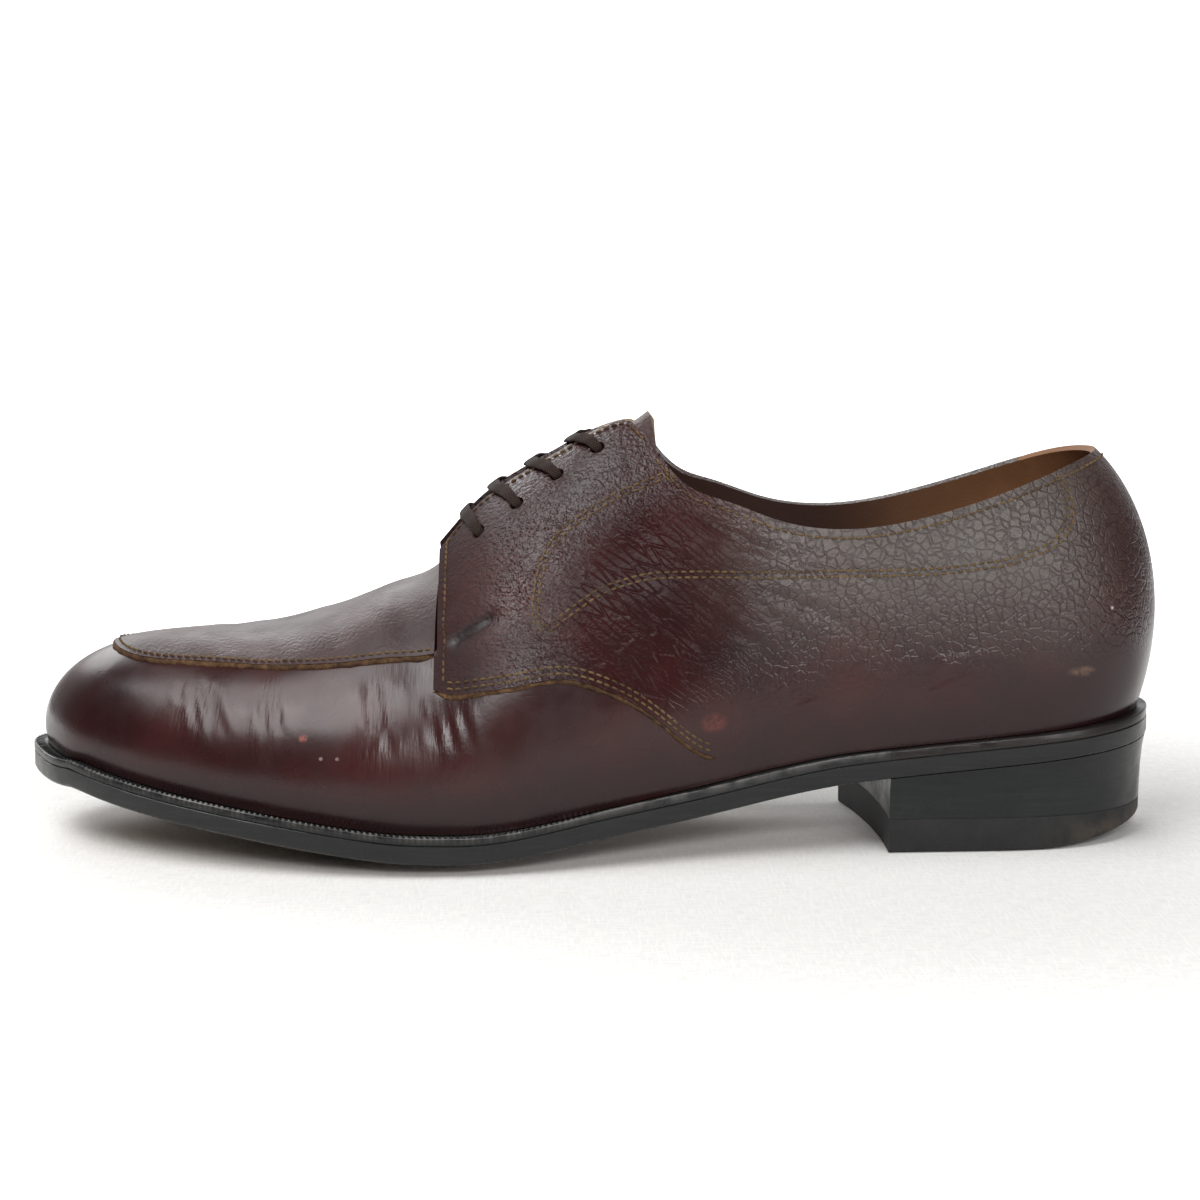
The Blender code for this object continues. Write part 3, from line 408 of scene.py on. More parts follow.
# Creases: the side, three places on the last as along and share, the half width and the depth.
CREASES = (
    # Groups on the lateral wall of the vamp.
    (LATERAL, 0.863, 0.566, 0.849, 0.393, 0.840, 0.256, 1.1, 0.30),
    (LATERAL, 0.854, 0.580, 0.838, 0.406, 0.828, 0.237, 1.3, 0.45),
    (LATERAL, 0.842, 0.557, 0.828, 0.388, 0.817, 0.256, 1.2, 0.35),
    (LATERAL, 0.873, 0.530, 0.867, 0.470, 0.861, 0.416, 1.0, 0.22),
    (LATERAL, 0.793, 0.507, 0.786, 0.370, 0.782, 0.269, 1.2, 0.28),
    (LATERAL, 0.782, 0.511, 0.777, 0.402, 0.770, 0.288, 1.1, 0.28),
    (LATERAL, 0.700, 0.521, 0.695, 0.416, 0.690, 0.265, 1.3, 0.35),
    (LATERAL, 0.688, 0.502, 0.681, 0.374, 0.676, 0.210, 1.3, 0.42),
    (LATERAL, 0.676, 0.475, 0.671, 0.356, 0.667, 0.247, 1.2, 0.32),
    (LATERAL, 0.648, 0.420, 0.641, 0.320, 0.634, 0.215, 1.3, 0.35),
    (LATERAL, 0.634, 0.380, 0.627, 0.285, 0.618, 0.186, 1.3, 0.38),
    (LATERAL, 0.622, 0.349, 0.613, 0.257, 0.606, 0.176, 1.2, 0.30),
    # The deep fold behind the slit, and soft folds over the apron.
    (LATERAL, 0.637, 0.522, 0.611, 0.497, 0.580, 0.478, 2.6, 1.10),
    (LATERAL, 0.620, 0.560, 0.600, 0.545, 0.575, 0.520, 1.8, 0.30),
    (LATERAL, 0.892, 0.945, 0.857, 0.820, 0.824, 0.689, 2.6, 0.22),
    (LATERAL, 0.835, 0.936, 0.818, 0.790, 0.800, 0.653, 2.6, 0.22),
    (LATERAL, 0.749, 0.927, 0.734, 0.760, 0.721, 0.603, 3.0, 0.30),
    (LATERAL, 0.683, 0.904, 0.671, 0.730, 0.660, 0.557, 3.2, 0.35),
    # Slanted wrinkles of the lateral quarter.
    (LATERAL, 0.428, 0.561, 0.388, 0.488, 0.330, 0.419, 1.5, 0.51),
    (LATERAL, 0.365, 0.371, 0.316, 0.313, 0.267, 0.262, 1.5, 0.57),
    (LATERAL, 0.456, 0.483, 0.419, 0.433, 0.400, 0.404, 1.1, 0.27),
    (LATERAL, 0.461, 0.367, 0.421, 0.286, 0.379, 0.205, 1.2, 0.33),
    (LATERAL, 0.437, 0.389, 0.374, 0.275, 0.320, 0.177, 1.3, 0.39),
    (LATERAL, 0.393, 0.387, 0.381, 0.337, 0.372, 0.291, 1.0, 0.27),
    (LATERAL, 0.369, 0.373, 0.339, 0.278, 0.306, 0.198, 1.2, 0.39),
    (LATERAL, 0.381, 0.272, 0.369, 0.223, 0.355, 0.185, 1.0, 0.30),
    (LATERAL, 0.430, 0.253, 0.421, 0.210, 0.405, 0.171, 1.0, 0.24),
    (LATERAL, 0.351, 0.348, 0.325, 0.272, 0.297, 0.212, 1.2, 0.36),
    (LATERAL, 0.297, 0.280, 0.255, 0.231, 0.208, 0.198, 1.5, 0.45),
    (LATERAL, 0.217, 0.203, 0.185, 0.205, 0.152, 0.230, 1.4, 0.39),
    (LATERAL, 0.252, 0.355, 0.229, 0.301, 0.208, 0.245, 1.1, 0.39),
    (LATERAL, 0.227, 0.300, 0.210, 0.327, 0.196, 0.359, 1.1, 0.33),
    (LATERAL, 0.222, 0.120, 0.199, 0.143, 0.175, 0.170, 0.9, 0.21),
    (LATERAL, 0.388, 0.138, 0.346, 0.133, 0.299, 0.143, 1.2, 0.21),
    (LATERAL, 0.290, 0.411, 0.264, 0.363, 0.238, 0.343, 1.2, 0.33),
    (LATERAL, 0.423, 0.442, 0.393, 0.459, 0.360, 0.442, 1.1, 0.27),
    (LATERAL, 0.166, 0.264, 0.145, 0.289, 0.119, 0.336, 1.1, 0.27),
    # The medial side: the vamp's groups and some wrinkles of the quarter.
    (MEDIAL, 0.858, 0.570, 0.843, 0.400, 0.834, 0.260, 1.3, 0.38),
    (MEDIAL, 0.846, 0.560, 0.832, 0.390, 0.822, 0.250, 1.2, 0.38),
    (MEDIAL, 0.790, 0.540, 0.784, 0.390, 0.778, 0.280, 1.2, 0.28),
    (MEDIAL, 0.776, 0.520, 0.770, 0.380, 0.764, 0.270, 1.2, 0.28),
    (MEDIAL, 0.692, 0.530, 0.687, 0.400, 0.682, 0.250, 1.3, 0.40),
    (MEDIAL, 0.680, 0.510, 0.674, 0.370, 0.668, 0.220, 1.3, 0.42),
    (MEDIAL, 0.664, 0.480, 0.658, 0.340, 0.652, 0.200, 1.2, 0.32),
    (MEDIAL, 0.640, 0.410, 0.633, 0.300, 0.626, 0.200, 1.3, 0.38),
    (MEDIAL, 0.628, 0.370, 0.621, 0.270, 0.612, 0.180, 1.2, 0.32),
    (MEDIAL, 0.632, 0.525, 0.608, 0.505, 0.578, 0.490, 2.4, 0.55),
    (MEDIAL, 0.860, 0.940, 0.838, 0.800, 0.816, 0.670, 2.6, 0.22),
    (MEDIAL, 0.742, 0.925, 0.728, 0.760, 0.716, 0.600, 3.0, 0.30),
    (MEDIAL, 0.678, 0.900, 0.668, 0.730, 0.658, 0.560, 3.2, 0.35),
    (MEDIAL, 0.420, 0.550, 0.380, 0.480, 0.325, 0.420, 1.4, 0.30),
    (MEDIAL, 0.372, 0.380, 0.322, 0.310, 0.275, 0.255, 1.5, 0.34),
    (MEDIAL, 0.440, 0.380, 0.380, 0.280, 0.325, 0.185, 1.3, 0.24),
    (MEDIAL, 0.380, 0.370, 0.348, 0.280, 0.312, 0.200, 1.2, 0.24),
    (MEDIAL, 0.290, 0.275, 0.250, 0.230, 0.205, 0.205, 1.4, 0.28),
)

# Double row on the quarters: down from the collar in a curve, and back along the side to the heel's collar.
SWAN_ROW = {
    "along": (0.440, 0.456, 0.480, 0.501, 0.519, 0.533, 0.543, 0.550, 0.554, 0.556, 0.555, 0.547),
    "share": (0.652, 0.635, 0.622, 0.610, 0.596, 0.585, 0.570, 0.543, 0.507, 0.462, 0.409, 0.379),
}
SIDE_ROW = {
    "along": (0.547, 0.538, 0.524, 0.510, 0.496, 0.482, 0.466, 0.435, 0.395, 0.346, 0.302, 0.260,
              0.217, 0.192, 0.164, 0.140, 0.121, 0.105, 0.093, 0.084, 0.079, 0.077, 0.079, 0.084),
    "share": (0.379, 0.386, 0.397, 0.409, 0.417, 0.420, 0.422, 0.416, 0.404, 0.389, 0.382, 0.377,
              0.376, 0.378, 0.386, 0.395, 0.412, 0.428, 0.454, 0.484, 0.529, 0.572, 0.604, 0.622),
}
ROW_APART = 1.5

# Small damage on the lateral side: place as along and share, size, stretch along the shoe and colour.
MARKS = (
    (0.751, 0.297, 2.2, 1.0, (0.260, 0.075, 0.060)),
    (0.735, 0.224, 1.0, 1.0, (0.260, 0.200, 0.180)),
    (0.721, 0.224, 0.9, 1.2, (0.240, 0.180, 0.160)),
    (0.058, 0.266, 0.9, 1.0, (0.450, 0.400, 0.380)),
    (0.400, 0.120, 4.5, 1.6, (0.100, 0.022, 0.016)),
    (0.082, 0.130, 2.6, 5.0, (0.100, 0.055, 0.036)),
)
STITCH = {"pitch": 2.2, "length": 1.9, "width": 0.62, "height": 0.34}

# A stitch's rings from end to end: place over half its length, thickness, and height over the leather.
STITCH_RINGS = {
    "place": (-1.0, -0.55, 0.0, 0.55, 1.0),
    "size": (0.25, 1.0, 1.05, 1.0, 0.25),
    "height": (-0.6, 0.35, 0.6, 0.35, -0.6),
}
SEAM_GROOVE, SEAM_WIDTH = 0.22, 1.1

# Ridges beside a crease, as the distance in its half widths and the height over its depth. A crease is only
# looked for within its reach.
CREASE_RIDGE_AT, CREASE_RIDGE_HEIGHT, CREASE_REACH = 2.1, 0.45, 45

# Fine upright wrinkles of the vamp's wall: the middle and half width of each group, as along.
FLEX_GROUPS = {
    "middle": (0.845, 0.785, 0.686, 0.630),
    "width": (0.022, 0.014, 0.020, 0.024),
}

# Distances of the single rows from their edges, and the stretches of the last that they run over.
EDGE_ROW, LOWER_ROWS, COLLAR_ROW, APRON_ROW = 1.9, (1.5, 3.2), 2.4, 1.5
COLLAR_ROW_END, FACING_ROW_ENDS, LOWER_ROW_START, QUARTER_LIP_START = 0.455, (0.470, 0.632), 0.402, 0.398

# Places that each row is sampled at.
ROW_SAMPLES = {"collar": 240, "facing": 70, "front": 50, "lower": 110, "apron": 120}

# The polished patch low on each quarter, as places and spreads along and up the last.
PATCH_ALONG, PATCH_WIDE, PATCH_SHARE, PATCH_HIGH, PATCH_STRENGTH = 0.450, 0.075, 0.37, 0.19, 1.6

# Where the rim of the upper shows a cut edge on the facings, and the lining at the heel.
FACING_END, HEEL_RIM = (0.455, 0.512), 0.09

# The raw lips: the half width, how far it wobbles and over what length, the taper of the ends, and the
# section as steps down the leather and out from it.
LIP_WIDTH, LIP_WOBBLE, LIP_WAVE, LIP_TAPER = 0.72, 0.20, 4.3, 3
LIP_SECTION = {
    "down": (-0.6, -0.6, 0.1, 0.65, 1.0, 1.0),
    "out": (-0.2, 0.85, 0.85, 0.65, 0.20, -0.2),
}

# Ribs that a wheel pressed into the welt, and the bead beside them: sizes, and where each fades in.
RIB_PITCH, RIB_DEPTH, BEAD_DEPTH = 1.5, 0.45, 0.45
RIBS_START, BEAD_START = (0.47, 0.56), (0.44, 0.54)

# Points nearer than this are welded, and edges sharper than this many degrees stay sharp.
WELD, SHARP_ANGLE = 0.002, 42


def to_row(points):
    """From the last's millimetres to the row's metres."""
    return (np.asarray(points, float) + SHIFT) * MM


def make(name, points, faces, materials, face_materials=None, corner_data=None):
    """A smooth mesh piece that rides on the shoe, with welded points and faces that look outwards."""
    mesh = bpy.data.meshes.new(name)
    mesh.from_pydata([tuple(p) for p in to_row(points)], [], faces)
    for material in materials:
        mesh.materials.append(material)
    if face_materials is not None:
        mesh.polygons.foreach_set("material_index", np.asarray(face_materials, np.int32))
    for layer, values in (corner_data or {}).items():
        corners = np.fromiter((v for face in faces for v in face), int)
        if values.shape[1] == 2:
            mesh.uv_layers.new(name=layer).data.foreach_set("uv", values[corners].astype(np.float32).ravel())
        else:
            colours = mesh.color_attributes.new(layer, "FLOAT_COLOR", "CORNER")
            colours.data.foreach_set("color", values[corners].astype(np.float32).ravel())
    bm = bmesh.new()
    bm.from_mesh(mesh)
    bmesh.ops.remove_doubles(bm, verts=bm.verts, dist=WELD * MM)
    bmesh.ops.recalc_face_normals(bm, faces=bm.faces)
    bm.to_mesh(mesh)
    bm.free()
    mesh.shade_smooth()
    mesh.set_sharp_from_angle(angle=np.radians(SHARP_ANGLE))
    piece = bpy.data.objects.new(name, mesh)
    bpy.context.scene.collection.objects.link(piece)
    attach(piece, "root")
    return piece


def surface_normals(points, faces):
    """Normals of a sheet at its points, from the faces round each place."""
    place = np.unique(np.round(points, 3), axis=0, return_inverse=True)[1].reshape(-1)
    total = np.zeros_like(points)
    for a, b, c, d in faces:
        total[place[[a, b, c, d]]] += np.cross(points[c] - points[a], points[d] - points[b])
    return unit(total[place])


def rim_faces(faces, count):
    """Faces that join the edge of a sheet to the edge of its copy, whose points come count later."""
    seen = {}
    for face in faces:
        for a, b in zip(face, face[1:] + face[:1]):
            key = frozenset((a, b))
            seen[key] = None if key in seen else (a, b)
    return [[b, a, a + count, b + count] for a, b in filter(None, seen.values())]


def thick_sheet(outer, inner, faces):
    """Points and faces of the solid between a sheet and its copy."""
    count = len(outer)
    back = [[corner + count for corner in face[::-1]] for face in faces]
    return np.concatenate([outer, inner]), faces + back + rim_faces(faces, count)


def grid_faces(index, rows, turned):
    """Four-sided faces between neighbouring rows of point numbers."""
    faces = []
    for first, second in zip(rows, rows[1:]):
        for i in range(len(first) - 1):
            face = [index[first[i]], index[first[i + 1]], index[second[i + 1]], index[second[i]]]
            faces.append(face[::-1] if turned else face)
    return faces


def tube_faces(rings):
    """Four-sided faces between neighbouring closed rings of point numbers."""
    faces = []
    for low, high in zip(rings, rings[1:]):
        faces += [[low[i - 1], low[i], high[i], high[i - 1]] for i in range(len(low))]
    return faces


def polyline_distance(points, line):
    """Distance of points from a line, and how far along the line each nearest place is, from 0 to 1."""
    best = np.full(len(points), np.inf)
    where = np.zeros(len(points))
    reached = lengths_along(line)
    reached = reached / reached[-1]
    for i, (a, b) in enumerate(zip(line, line[1:])):
        t = np.clip((points - a) @ (b - a) / ((b - a) @ (b - a)), 0, 1)
        distance = np.linalg.norm(points - a - t[:, None] * (b - a), axis=1)
        nearer = distance < best
        best[nearer] = distance[nearer]
        where[nearer] = reached[i] + t[nearer] * (reached[i + 1] - reached[i])
    return best, where


def curve_through(first, second, third, count=9):
    """Places on a parabola through three values."""
    t = np.linspace(0, 1, count)
    return first * (1 - t) * (1 - 2 * t) + second * 4 * t * (1 - t) + third * t * (2 * t - 1)


def crease_lines():
    """(side, points on the last, half width, depth) of each crease."""
    found = []
    for side, a1, s1, a2, s2, a3, s3, half_width, depth in CREASES:
        line = form(side, curve_through(a1, a2, a3), curve_through(s1, s2, s3))
        found.append((side, line, half_width, depth))
    return found


def seam_places(table, count=160):
    """Places evenly spread over a stitched row, as along and share."""
    along, share = np.array(table["along"]), np.array(table["share"])
    knots = lengths_along(np.stack([along * 3, share], 1))
    t = np.linspace(0, knots[-1], count)
    return spline(knots, along)(t), spline(knots, share)(t)


def seam_lines():
    """Points on the last under the double rows of both quarters."""
    found = []
    for side in (LATERAL, MEDIAL):
        for table in (SWAN_ROW, SIDE_ROW):
            found.append((side, quarter_form(side, *seam_places(table, 60))))
    return found


CREASE_LINES = crease_lines()
SEAM_LINES = seam_lines()


def relief(side, points):
    """Height of creases and sewn-down rows over the plain leather, at points of the last on one side."""
    total = np.zeros(len(points))
    for crease_side, line, half_width, depth in CREASE_LINES:
        if crease_side != side:
            continue
        near = np.flatnonzero(np.abs(points - line.mean(0)).max(1) < CREASE_REACH)
        if len(near):
            distance, where = polyline_distance(points[near], line)
            fade = smoothstep(0, 0.25, where) * smoothstep(1, 0.7, where)
            trough = np.exp(-(distance / half_width) ** 2)
            ridge = np.exp(-((distance - CREASE_RIDGE_AT * half_width) / half_width) ** 2)
            total[near] += depth * fade * (CREASE_RIDGE_HEIGHT * ridge - trough)
    for seam_side, line in SEAM_LINES:
        if seam_side == side:
            distance, _ = polyline_distance(points, line)
            total -= SEAM_GROOVE * np.exp(-(distance / SEAM_WIDTH) ** 2)
    return total


def flex(along, share):
    """Weight of the fine upright wrinkles of the vamp's wall, strongest over the crease groups."""
    groups = zip(*FLEX_GROUPS.values())
    weight = sum(np.exp(-((along - middle) / width) ** 2) for middle, width in groups)
    return np.clip(weight, 0, 1) * smoothstep(0.08, 0.2, share) * smoothstep(0.62, 0.48, share)


class Sheet:
    """The one sheet that the upper is made from: base points, overlay steps, lifts and four-sided faces.

    Each column is a rib. Its "base" rows run up from the featherline, and its "over" rows lie on the apron or
    on a quarter. The vamp and a quarter share their column at the slit up to the apron's edge.
    """

    def __init__(self):
        self.index, self.base, self.step, self.lift, self.place, self.faces = {}, [], [], [], [], []
        self.front = stations(TOE_TIP, SLIT, TOE_STATIONS)
        self.back = stations(SLIT, HEEL_BACK, HEEL_STATIONS)
        for side in (LATERAL, MEDIAL):
            vamp = [self.column(side, "front", i) for i in range(len(self.front))]
            quarter = [self.column(side, "back", i) for i in range(len(self.back))]
            self.faces += grid_faces(self.index, vamp, side == LATERAL)
            self.faces += grid_faces(self.index, quarter, side == LATERAL)
            edge = slice(WALL_ROWS, WALL_ROWS + BAND_ROWS + 1)
            lower, upper = vamp[-1][edge], quarter[0][WALL_ROWS + 1:][:BAND_ROWS + 1]
            self.faces += grid_faces(self.index, [lower, upper], side == LATERAL)

    def column(self, side, zone, i):
        """Adds the points of one column and returns their keys, from the featherline upwards."""
        along = (self.front if zone == "front" else self.back)[i]
        edge = WALL_ROWS + BAND_ROWS
        split = edge if zone == "front" else WALL_ROWS
        rows = np.array([*range(split + 1), *range(split, edge + TOP_ROWS + 1)])
        over = np.arange(len(rows)) > split
        at_slit = (zone == "back" and i == 0) & (rows > edge)
        places = along - SLIT_GAP * at_slit
        top = 1.0 if zone == "front" else top_share(side, places[-1])[0]
        low, high = QUARTER_AT["share"](places), APRON_AT["share"](places)
        wall, band, upper = rows / WALL_ROWS, (rows - WALL_ROWS) / BAND_ROWS, (rows - edge) / TOP_ROWS
        share = np.where(rows <= WALL_ROWS, wall * low, low + band * (high - low))
        share = np.where(rows > edge, high + upper * (top - high), share)
        base = (form if zone == "front" else quarter_form)(side, places, share)
        step = np.where(over, OVERLAY * smoothstep(STEP_ENDS, STEP_FULL, places), 0.0)
        lift = facing_lift(places, upper) if zone == "back" else np.zeros(len(rows))
        keys = []
        for row, layer, *values in zip(rows, over, base, step, lift, places, share):
            key = self.key(side, zone, i, layer, row)
            keys.append(key)
            if key not in self.index:
                self.index[key] = len(self.base)
                self.base.append(values[0])
                self.step.append(values[1])
                self.lift.append(values[2])
                self.place.append((side, zone == "back", layer, values[3], values[4]))
        return keys

    def key(self, side, zone, i, layer, row):
        """The same key for a point that two columns share."""
        edge = WALL_ROWS + BAND_ROWS
        if zone == "back" and i == 0 and (not layer or row == edge):
            zone, i = "front", len(self.front) - 1
        at_toe = zone == "front" and i == 0
        at_heel = zone == "back" and i == len(self.back) - 1
        on_ridge = zone == "front" and row == edge + TOP_ROWS
        return (0 if at_toe or at_heel or on_ridge else side), zone, i, bool(layer), int(row)


def make_upper(leather, lining, raw_edge, cut_edge):
    """The upper as a hollow sheet: leather outside, lining inside, raw edges at the steps and rims."""
    sheet = Sheet()
    base, step, lift, place = (np.array(v) for v in (sheet.base, sheet.step, sheet.lift, sheet.place))
    normal = surface_normals(base, sheet.faces)
    crease = np.zeros(len(base))
    for side in (LATERAL, MEDIAL):
        mine = place[:, 0] == side
        crease[mine] = relief(side, base[mine])
    outer = base + normal * (step + lift + crease)[:, None]
    inner = base + normal * (lift - WALL + 0.5 * crease)[:, None]
    points, faces = thick_sheet(outer, inner, sheet.faces)
    count, sheet_count = len(outer), len(sheet.faces)
    corners = np.array(sheet.faces)
    jog = np.ptp(step[corners], axis=1) > 0.3 * OVERLAY
    jog &= np.linalg.norm(base[corners[:, 0]] - base[corners[:, 2]], axis=1) < 4
    rim_along = np.array([place[np.array(face) % count, 3].mean() for face in faces[2 * sheet_count:]])
    rim_share = np.array([place[np.array(face) % count, 4].mean() for face in faces[2 * sheet_count:]])
    facing_end = (rim_along > FACING_END[0]) & (rim_along < FACING_END[1]) & (rim_share > 0.5)
    rims = np.select([facing_end, (rim_along < HEEL_RIM) & (rim_share > 0.4)], [3, 1], 0)
    face_materials = np.concatenate([np.where(jog, 2, 0), np.ones(sheet_count), rims])
    surface = surface_weights(place, crease)
    chart = np.stack([LENGTH * place[:, 3] / 100, base[:, 2] / 100], 1)
    data = {"surface": np.concatenate([surface] * 2), "chart": np.concatenate([chart] * 2)}
    materials = (leather, lining, raw_edge, cut_edge)
    piece = make("dressed_upper", points, faces, materials, face_materials, data)
    cut_eyelets(piece)
    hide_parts("upper")
    return piece


def surface_weights(place, crease):
    """Weights from 0 to 1 at each point: pebble grain, upright wrinkles, painted shade with the darker
    polished toe, and slanted lines.
    """
    back, over, along, share = place[:, 1:].T
    quarter = (back > 0) & ((over > 0) | (along < STEP_FULL))
    from_patch = ((along - PATCH_ALONG) / PATCH_WIDE) ** 2 + ((share - PATCH_SHARE) / PATCH_HIGH) ** 2
    smooth_patch = np.minimum(1.0, PATCH_STRENGTH * np.exp(-from_patch))
    quarter_grain = (1 - 0.75 * smooth_patch) * smoothstep(0.10, 0.26, share)
    pebble = np.where(quarter, quarter_grain, np.where(over > 0, 0.30, 0.04))
    wrinkles = np.where(over > 0, 0.0, flex(along, share))
    # The deep folds and the wall just above the welt get painted shade; the darker toe is the leather's own
    # polish.
    fold = np.clip((-crease - 0.30) / 0.6, 0, 1)
    low_wall_shade = 0.65 * smoothstep(0.17, 0.02, share)
    toe_polish = 0.30 * smoothstep(0.86, 0.95, along) * (over == 0)
    hollow = np.maximum(fold, np.maximum(low_wall_shade, toe_polish))
    pebble = pebble * (1 - 0.8 * fold)
    slanted = quarter * smooth_patch * smoothstep(0.08, 0.18, share)
    return np.stack([pebble, wrinkles, hollow, slanted], 1)


def cut_eyelets(piece):
    """Cuts the eyelets through both facings, and keeps the cut mesh."""
    points, faces = [], []
    turn = np.linspace(0, 2 * np.pi, HOLE_SIDES, endpoint=False)
    for side in (LATERAL, MEDIAL):
        for along, share in zip(EYELETS["along"], EYELETS["share"]):
            middle, normal = on_facing(side, along, share, 0.0)
            across = unit(np.cross(normal, UP))
            ring = np.outer(np.cos(turn), across) + np.outer(np.sin(turn), np.cross(normal, across))
            ring = middle + ring * EYELET_DIAMETER / 2
            first = len(points)
            low, high = (list(range(first + start, first + start + HOLE_SIDES)) for start in (0, HOLE_SIDES))
            points += [*(ring - normal * (WALL + OVERLAY + 1.5)), *(ring + normal * 1.5)]
            faces += [low[::-1], high]
            faces += tube_faces([low, high])
    mesh = bpy.data.meshes.new("eyelet_cutter")
    mesh.from_pydata([tuple(p) for p in to_row(points)], [], faces)
    for material in piece.data.materials:
        mesh.materials.append(material)
    mesh.polygons.foreach_set("material_index", np.full(len(faces), 2, np.int32))
    cutter = bpy.data.objects.new("eyelet_cutter", mesh)
    bpy.context.scene.collection.objects.link(cutter)
    cut = piece.modifiers.new("eyelets", "BOOLEAN")
    cut.solver = "EXACT"
    cut.object = cutter
    bpy.context.view_layer.update()
    graph = bpy.context.evaluated_depsgraph_get()
    with_holes = piece.evaluated_get(graph)
    with_holes = bpy.data.meshes.new_from_object(with_holes, preserve_all_data_layers=True, depsgraph=graph)
    piece.modifiers.remove(cut)
    piece.data = with_holes
    bpy.data.objects.remove(cutter)


def outer_point(side, along, share):
    """Points on the outside of the upper, and its normals there."""
    along, share = np.broadcast_arrays(np.asarray(along, float), np.asarray(share, float))
    behind = along < SLIT
    base = np.where(behind[:, None], quarter_form(side, along, share), form(side, along, share))
    normals = [normal_of(shape, side, along, share) for shape in (quarter_form, form)]
    normal = np.where(behind[:, None], *normals)
    apron = APRON_AT["share"](along)
    over = np.where(behind, share >= QUARTER_AT["share"](along) - 1e-6, share >= apron - 1e-6)
    step = over * OVERLAY * smoothstep(STEP_ENDS, STEP_FULL, along)
    lift = np.zeros(len(along))
    for i in np.flatnonzero(behind & (along > FACING_BACK) & (share > apron)):
        lift[i] = facing_lift(along[i], (share[i] - apron[i]) / (top_share(side, along[i])[0] - apron[i]))
    return base + normal * (step + lift + relief(side, base))[:, None], normal


def rib_step(side, along, share, distance):
    """How much of a rib's share a distance in millimetres takes there."""
    shape = [quarter_form(side, along, np.clip(share + s, 0, 1)) for s in (-0.01, 0.01)]
    return distance * 0.02 / np.linalg.norm(shape[1] - shape[0], axis=-1)


def stitch_runs():
    """Every sewn row as points and normals on the upper's outside."""
    runs = []
    for side in (LATERAL, MEDIAL):
        for table in (SWAN_ROW, SIDE_ROW):
            along, share = seam_places(table)
            top = top_share(side, along)
            share = np.minimum(share, top - rib_step(side, along, top, COLLAR_ROW))
            points, normal = outer_point(side, along, share)
            beside = unit(np.cross(normal, np.gradient(points, axis=0)))
            for offset in (-0.5, 0.5):
                runs.append((points + beside * offset * ROW_APART, normal))
        start = HEEL_BACK + 0.001
        along = start + (COLLAR_ROW_END - start) * np.linspace(0, 1, ROW_SAMPLES["collar"]) ** 2
        top = top_share(side, along)
        runs.append(outer_point(side, along, top - rib_step(side, along, top, COLLAR_ROW)))
        along = np.linspace(*FACING_ROW_ENDS, ROW_SAMPLES["facing"])
        top = top_share(side, along)
        runs.append(outer_point(side, along, top - rib_step(side, along, top, EDGE_ROW)))
        front = SLIT - SLIT_GAP - EDGE_ROW / LENGTH
        ends = QUARTER_AT["share"](front) + 0.03, top_share(side, front)[0] - 0.02
        share = np.linspace(*ends, ROW_SAMPLES["front"])
        runs.append(outer_point(side, np.full(len(share), front), share))
        along = np.linspace(LOWER_ROW_START, front, ROW_SAMPLES["lower"])
        for offset in LOWER_ROWS:
            low = QUARTER_AT["share"](along)
            runs.append(outer_point(side, along, low + rib_step(side, along, low, offset)))
        along = stations(SLIT + 0.002, TOE_TIP - 0.0005, ROW_SAMPLES["apron"])
        low = APRON_AT["share"](along)
        runs.append(outer_point(side, along, low + rib_step(side, along, low, APRON_ROW)))
    return runs


def points_at(places, reached, line):
    """Points at lengths along a line whose own points lie at the lengths reached."""
    return np.stack([np.interp(places, reached, line[:, i]) for i in range(3)], 1)


def make_stitches(thread):
    """Each stitch is a short thread, sunk a little at both ends."""
    rings = tuple(zip(*STITCH_RINGS.values()))
    turn = np.linspace(0, 2 * np.pi, 6, endpoint=False)
    points, faces = [], []
    for line, normal in stitch_runs():
        reached = lengths_along(line)
        places = np.arange(STITCH["pitch"] / 2, reached[-1], STITCH["pitch"])
        middle, up = points_at(places, reached, line), points_at(places, reached, normal)
        ahead = unit(points_at(places + 0.4, reached, line) - points_at(places - 0.4, reached, line))
        beside = np.cross(up, ahead)
        for c, u, a, b in zip(middle, up, ahead, beside):
            first = len(points)
            for place, size, height in rings:
                for t in turn:
                    across = b * np.cos(t) * STITCH["width"] / 2 * size
                    over = u * (np.sin(t) * STITCH["height"] * size + height * STITCH["height"])
                    points.append(c + a * place * STITCH["length"] / 2 + across + over)
            index = np.arange(first, len(points)).reshape(len(rings), len(turn)).tolist()
            faces += [index[0][::-1], index[-1]] + tube_faces(index)
    return make("stitches", points, faces, (thread,))


def wobble(places, seed):
    """Smooth irregular values between about -1 and 1."""
    phases = np.random.default_rng(seed).uniform(0, 2 * np.pi, 5)
    waves = (0.9, 1.7, 2.9, 4.3, 6.1)
    return sum(np.sin(places * wave + phase) for wave, phase in zip(waves, phases)) / 2.6


